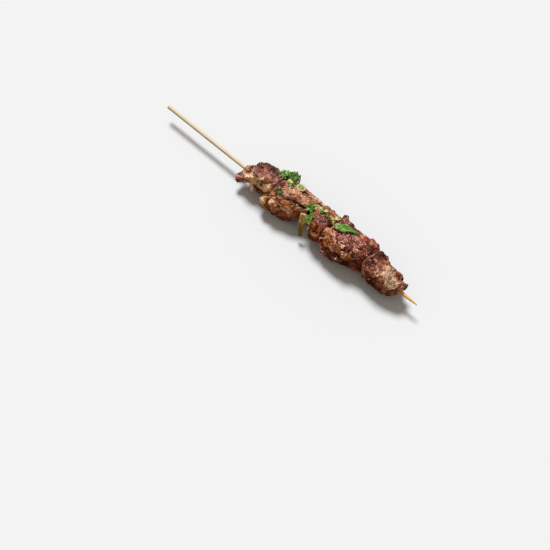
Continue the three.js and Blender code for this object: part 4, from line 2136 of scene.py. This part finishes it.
def chunk_3() -> Chunk:
    """The short chunk in the middle, creased across."""
    return Chunk(
        "lamb_chunk_3",
        seed=33,
        fibres=74,
        finish=LambFinish(flesh="a05c3a", crust="70341c", pale="d29c80", blush="8c544e", light=0.5),
        patches={
            BLUSH: ((157.5, -20, 5, 4), (162, -8, 3, 5, 0, 0.5)),
            DUSK: (
                (157, -14, 2.5, 3, 0, 0.7), (166, -40, 3, 6), (164.5, 12, 1.8, 7, 10, 0.8),
                (159, 62, 6, 3, 0, 0.9), (160, 0, 8, 12, 0, 0.25),
            ),
            FAT: ((153.6, 60, 2, 4, 70, 0.8),),
            AMBER: ((163, 20, 2.4, 5, 0, 0.8), (157, 20, 2.4, 6, 0, 0.5), (156, -66, 5, 3, 0, 0.6)),
            BRIGHT: ((157, -60, 6, 2.6, 0, 0.7),),
            GRAIN: ((158, 24, 6, 8, 0, 0.5),),
        },
        lines=(
            Line(((159.5, -12), (160.5, 6), (160, 30)), 0.8, -0.7),
            Line(((156.2, -10), (157, 8), (156.6, 30)), 0.7, -0.6),
        ),
    )


def chunk_4() -> Chunk:
    """The big chunk: pale threads on top, a dark smooth patch at its end and a charred ear."""
    return Chunk(
        "lamb_chunk_4",
        seed=44,
        fibres=38,
        finish=LambFinish(
            deep_shade="3c0c05", flesh="a46244", crust="70331c", pale="e6b8a4",
            blush="84443a", amber="a8641e", light=0.5,
        ),
        patches={
            GRAIN: ((181, -6, 12, 9), (181, 24, 10, 4, 0, 0.8)),
            DUSK: (
                (181, 2, 8, 8, 0, 0.35), (184, -26, 8, 4, 0, 0.5, -0.6), (199.5, 11, 6.5, 6.5, 0, 1.2),
                (201, -50, 2.6, 4), (201.5, -78, 3.5, 7, 0, 0.1, 1.2), (202, -14, 1.6, 8), (184, 52, 14, 3),
                (190, 84, 14, 5, 0, 0.8), (170.5, -80, 4.4, 6.5, 0, 1.3), (176.6, -84, 3, 5, 0, 1.2),
                (171, -68, 4.5, 5, 0, 1.2), (177.2, -70, 2.6, 4),
            ),
            AMBER: (
                (167.5, 0, 3, 3, 0, 0.7), (170, 10, 3.5, 4, 0, 0.9), (172.8, 26, 4, 5),
                (174.5, 43, 4.5, 3.4, 0, 0.8), (180, 24, 9, 3.2, 0, 0.6), (190.8, 27, 4.6, 3.2, 0, 1, 0.6),
            ),
            BRIGHT: ((175.5, -8, 5, 4, 0, 0.7), (195, -10, 4.5, 4.5, 0, 0.5), (174, -78, 1.4, 4, 0, 0.7)),
            BLUSH: (
                (181, -26, 9, 5, 0, 0.7), (188, -6, 8, 6, 0, 0.5), (194, -40, 7, 6, 0, 0.8),
                (199.5, 9, 4.5, 4, 0, 0.65), (173, -72, 7, 5, 0, 0.9),
            ),
            SLEEK: ((193, -34, 9, 7, 0, 0.45), (199.5, 11, 6, 5.5)),
            CHAR: (
                (201, -50, 2, 3, 0, 0.5), (180, 46, 9, 1.6, 0, 0.6), (170.5, -92, 3.4, 6, 0, 0.8),
                (176.8, -90, 2.2, 5, 0, 0.6),
            ),
        },
        lines=(
            Line(((195, 24), (197.4, 12), (200, 2), (202, -6)), 0.7, 0.45, FAT, 0.4),
            Line(((164.8, 44), (166.9, 33), (169.4, 24), (171.5, 16)), 1.2, 0.8, FAT),
            Line(((168, 54), (176, 44), (186, 46), (194, 62)), 0.9, -0.9, CHAR, 0.5),
            Line(((170, 62), (178, 56), (186, 60), (192, 76)), 0.8, 0.6, FAT, 0.5),
            Line(((188, -58), (192, -46), (198, -46), (202, -36)), 0.9, -0.8, CHAR, 0.5),
        ),
        relief=Relief(thread=2.8, thread_stretch=1.3, thread_height=0.32, thread_light=2.6),
    )


def chunk_5() -> Chunk:
    """The chunk nearest the point: a bright sheet of fat over its frayed end."""
    return Chunk(
        "lamb_chunk_5",
        seed=55,
        fibres=66,
        finish=LambFinish(
            flesh="a4684a", crust="703822", pale="deb296", fat="e6c8a8",
            blush="884c44", light=0.52,
        ),
        patches={
            CHAR: ((209.6, -66, 4.5, 4.5, 0, 0.7),),
            DUSK: (
                (208, -50, 6, 8, 0, 1.2), (206, -82, 5.5, 8, 0, 0.2, 2.1), (210, -16, 2.2, 1.6, 0, 1, -1.2),
                (231.5, -78, 4, 7, 0, 0.3, -1.8), (225.7, -48, 3.6, 3.8, 0, 1.3, 0.7),
                (215, 78, 9, 4, 0, 0.9), (230, 62, 6, 3),
            ),
            BLUSH: (
                (207, -60, 5, 5, 0, 0.6), (209, -24, 5, 5, 0, 0.6), (213.5, -26, 3.5, 3, 0, 0.9),
                (208, 2, 4, 9, 0, 0.5), (230, 62, 6, 3, 0, 0.8),
            ),
            BRIGHT: (
                (213, 14, 5, 6, 0, 0.4), (219, -36, 4.5, 5, 0, 0.6), (223, -12, 6, 7, 0, 0.7),
                (229, 2, 8, 10, 0, 1.35),
            ),
            GRAIN: ((213, 6, 7, 8),),
            FAT: (
                (219, -38, 5, 6, 0, 0.55), (223, -14, 5, 6, 0, 0.6), (227.5, 6, 6.5, 5, 12, 0.9, -0.4),
                (230, -12, 4, 5.5, 60),
            ),
            SLEEK: ((219.5, -32, 6.5, 6),),
            AMBER: ((227.5, -46, 2.2, 2.2, 0, 0.5),),
        },
        lines=(
            Line(((226, 64), (230, 34), (233, 6), (234.4, -28), (232, -46)), 0.9, 0.8, BLUSH, 0.9),
            Line(((212, -2), (211, 8), (213, 16), (211.6, 26)), 0.7, 0.5, BRIGHT, 0.6),
            Line(((215.6, -2), (214.4, 8), (216.6, 16), (215, 26)), 0.7, 0.5, BRIGHT, 0.6),
            Line(((219, 0), (218, 10), (220, 20), (217, 34)), 0.7, 0.5, BRIGHT, 0.6),
            Line(((222, 40), (224, 20), (223, 4), (222, -10)), 0.9, -0.8),
            Line(((211, 52), (217, 44), (222, 30)), 0.9, -0.9, CHAR, 0.4),
        ),
    )


def main() -> None:
    """Builds the kebab and its studio."""
    logging.basicConfig(level=logging.INFO, format="%(message)s")
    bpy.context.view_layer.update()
    make_grain_group()
    SearGroup()
    nodes = {name: node_surface(name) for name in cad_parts}
    kebab = [chunk_1(), chunk_2(), chunk_3(), chunk_4(), chunk_5()]
    seams = Seams([chunk.node for chunk in kebab])
    bases = []
    for i, chunk in enumerate(kebab):
        beside = [nodes[other.node] for other in kebab[max(i - 1, 0) : i + 2] if other is not chunk]
        base, _ = chunk.build(beside, nodes["stick"], seams)
        bases.append(base)
    Stick().build()
    onion, _ = OnionStrip().build()
    ground = Surface.joined(bases + [onion])
    Sinew().build(ground)
    Crumbs().build(ground, onion)
    Herbs().build(ground)
    Studio().build()


if __name__ == "__main__":
    main()
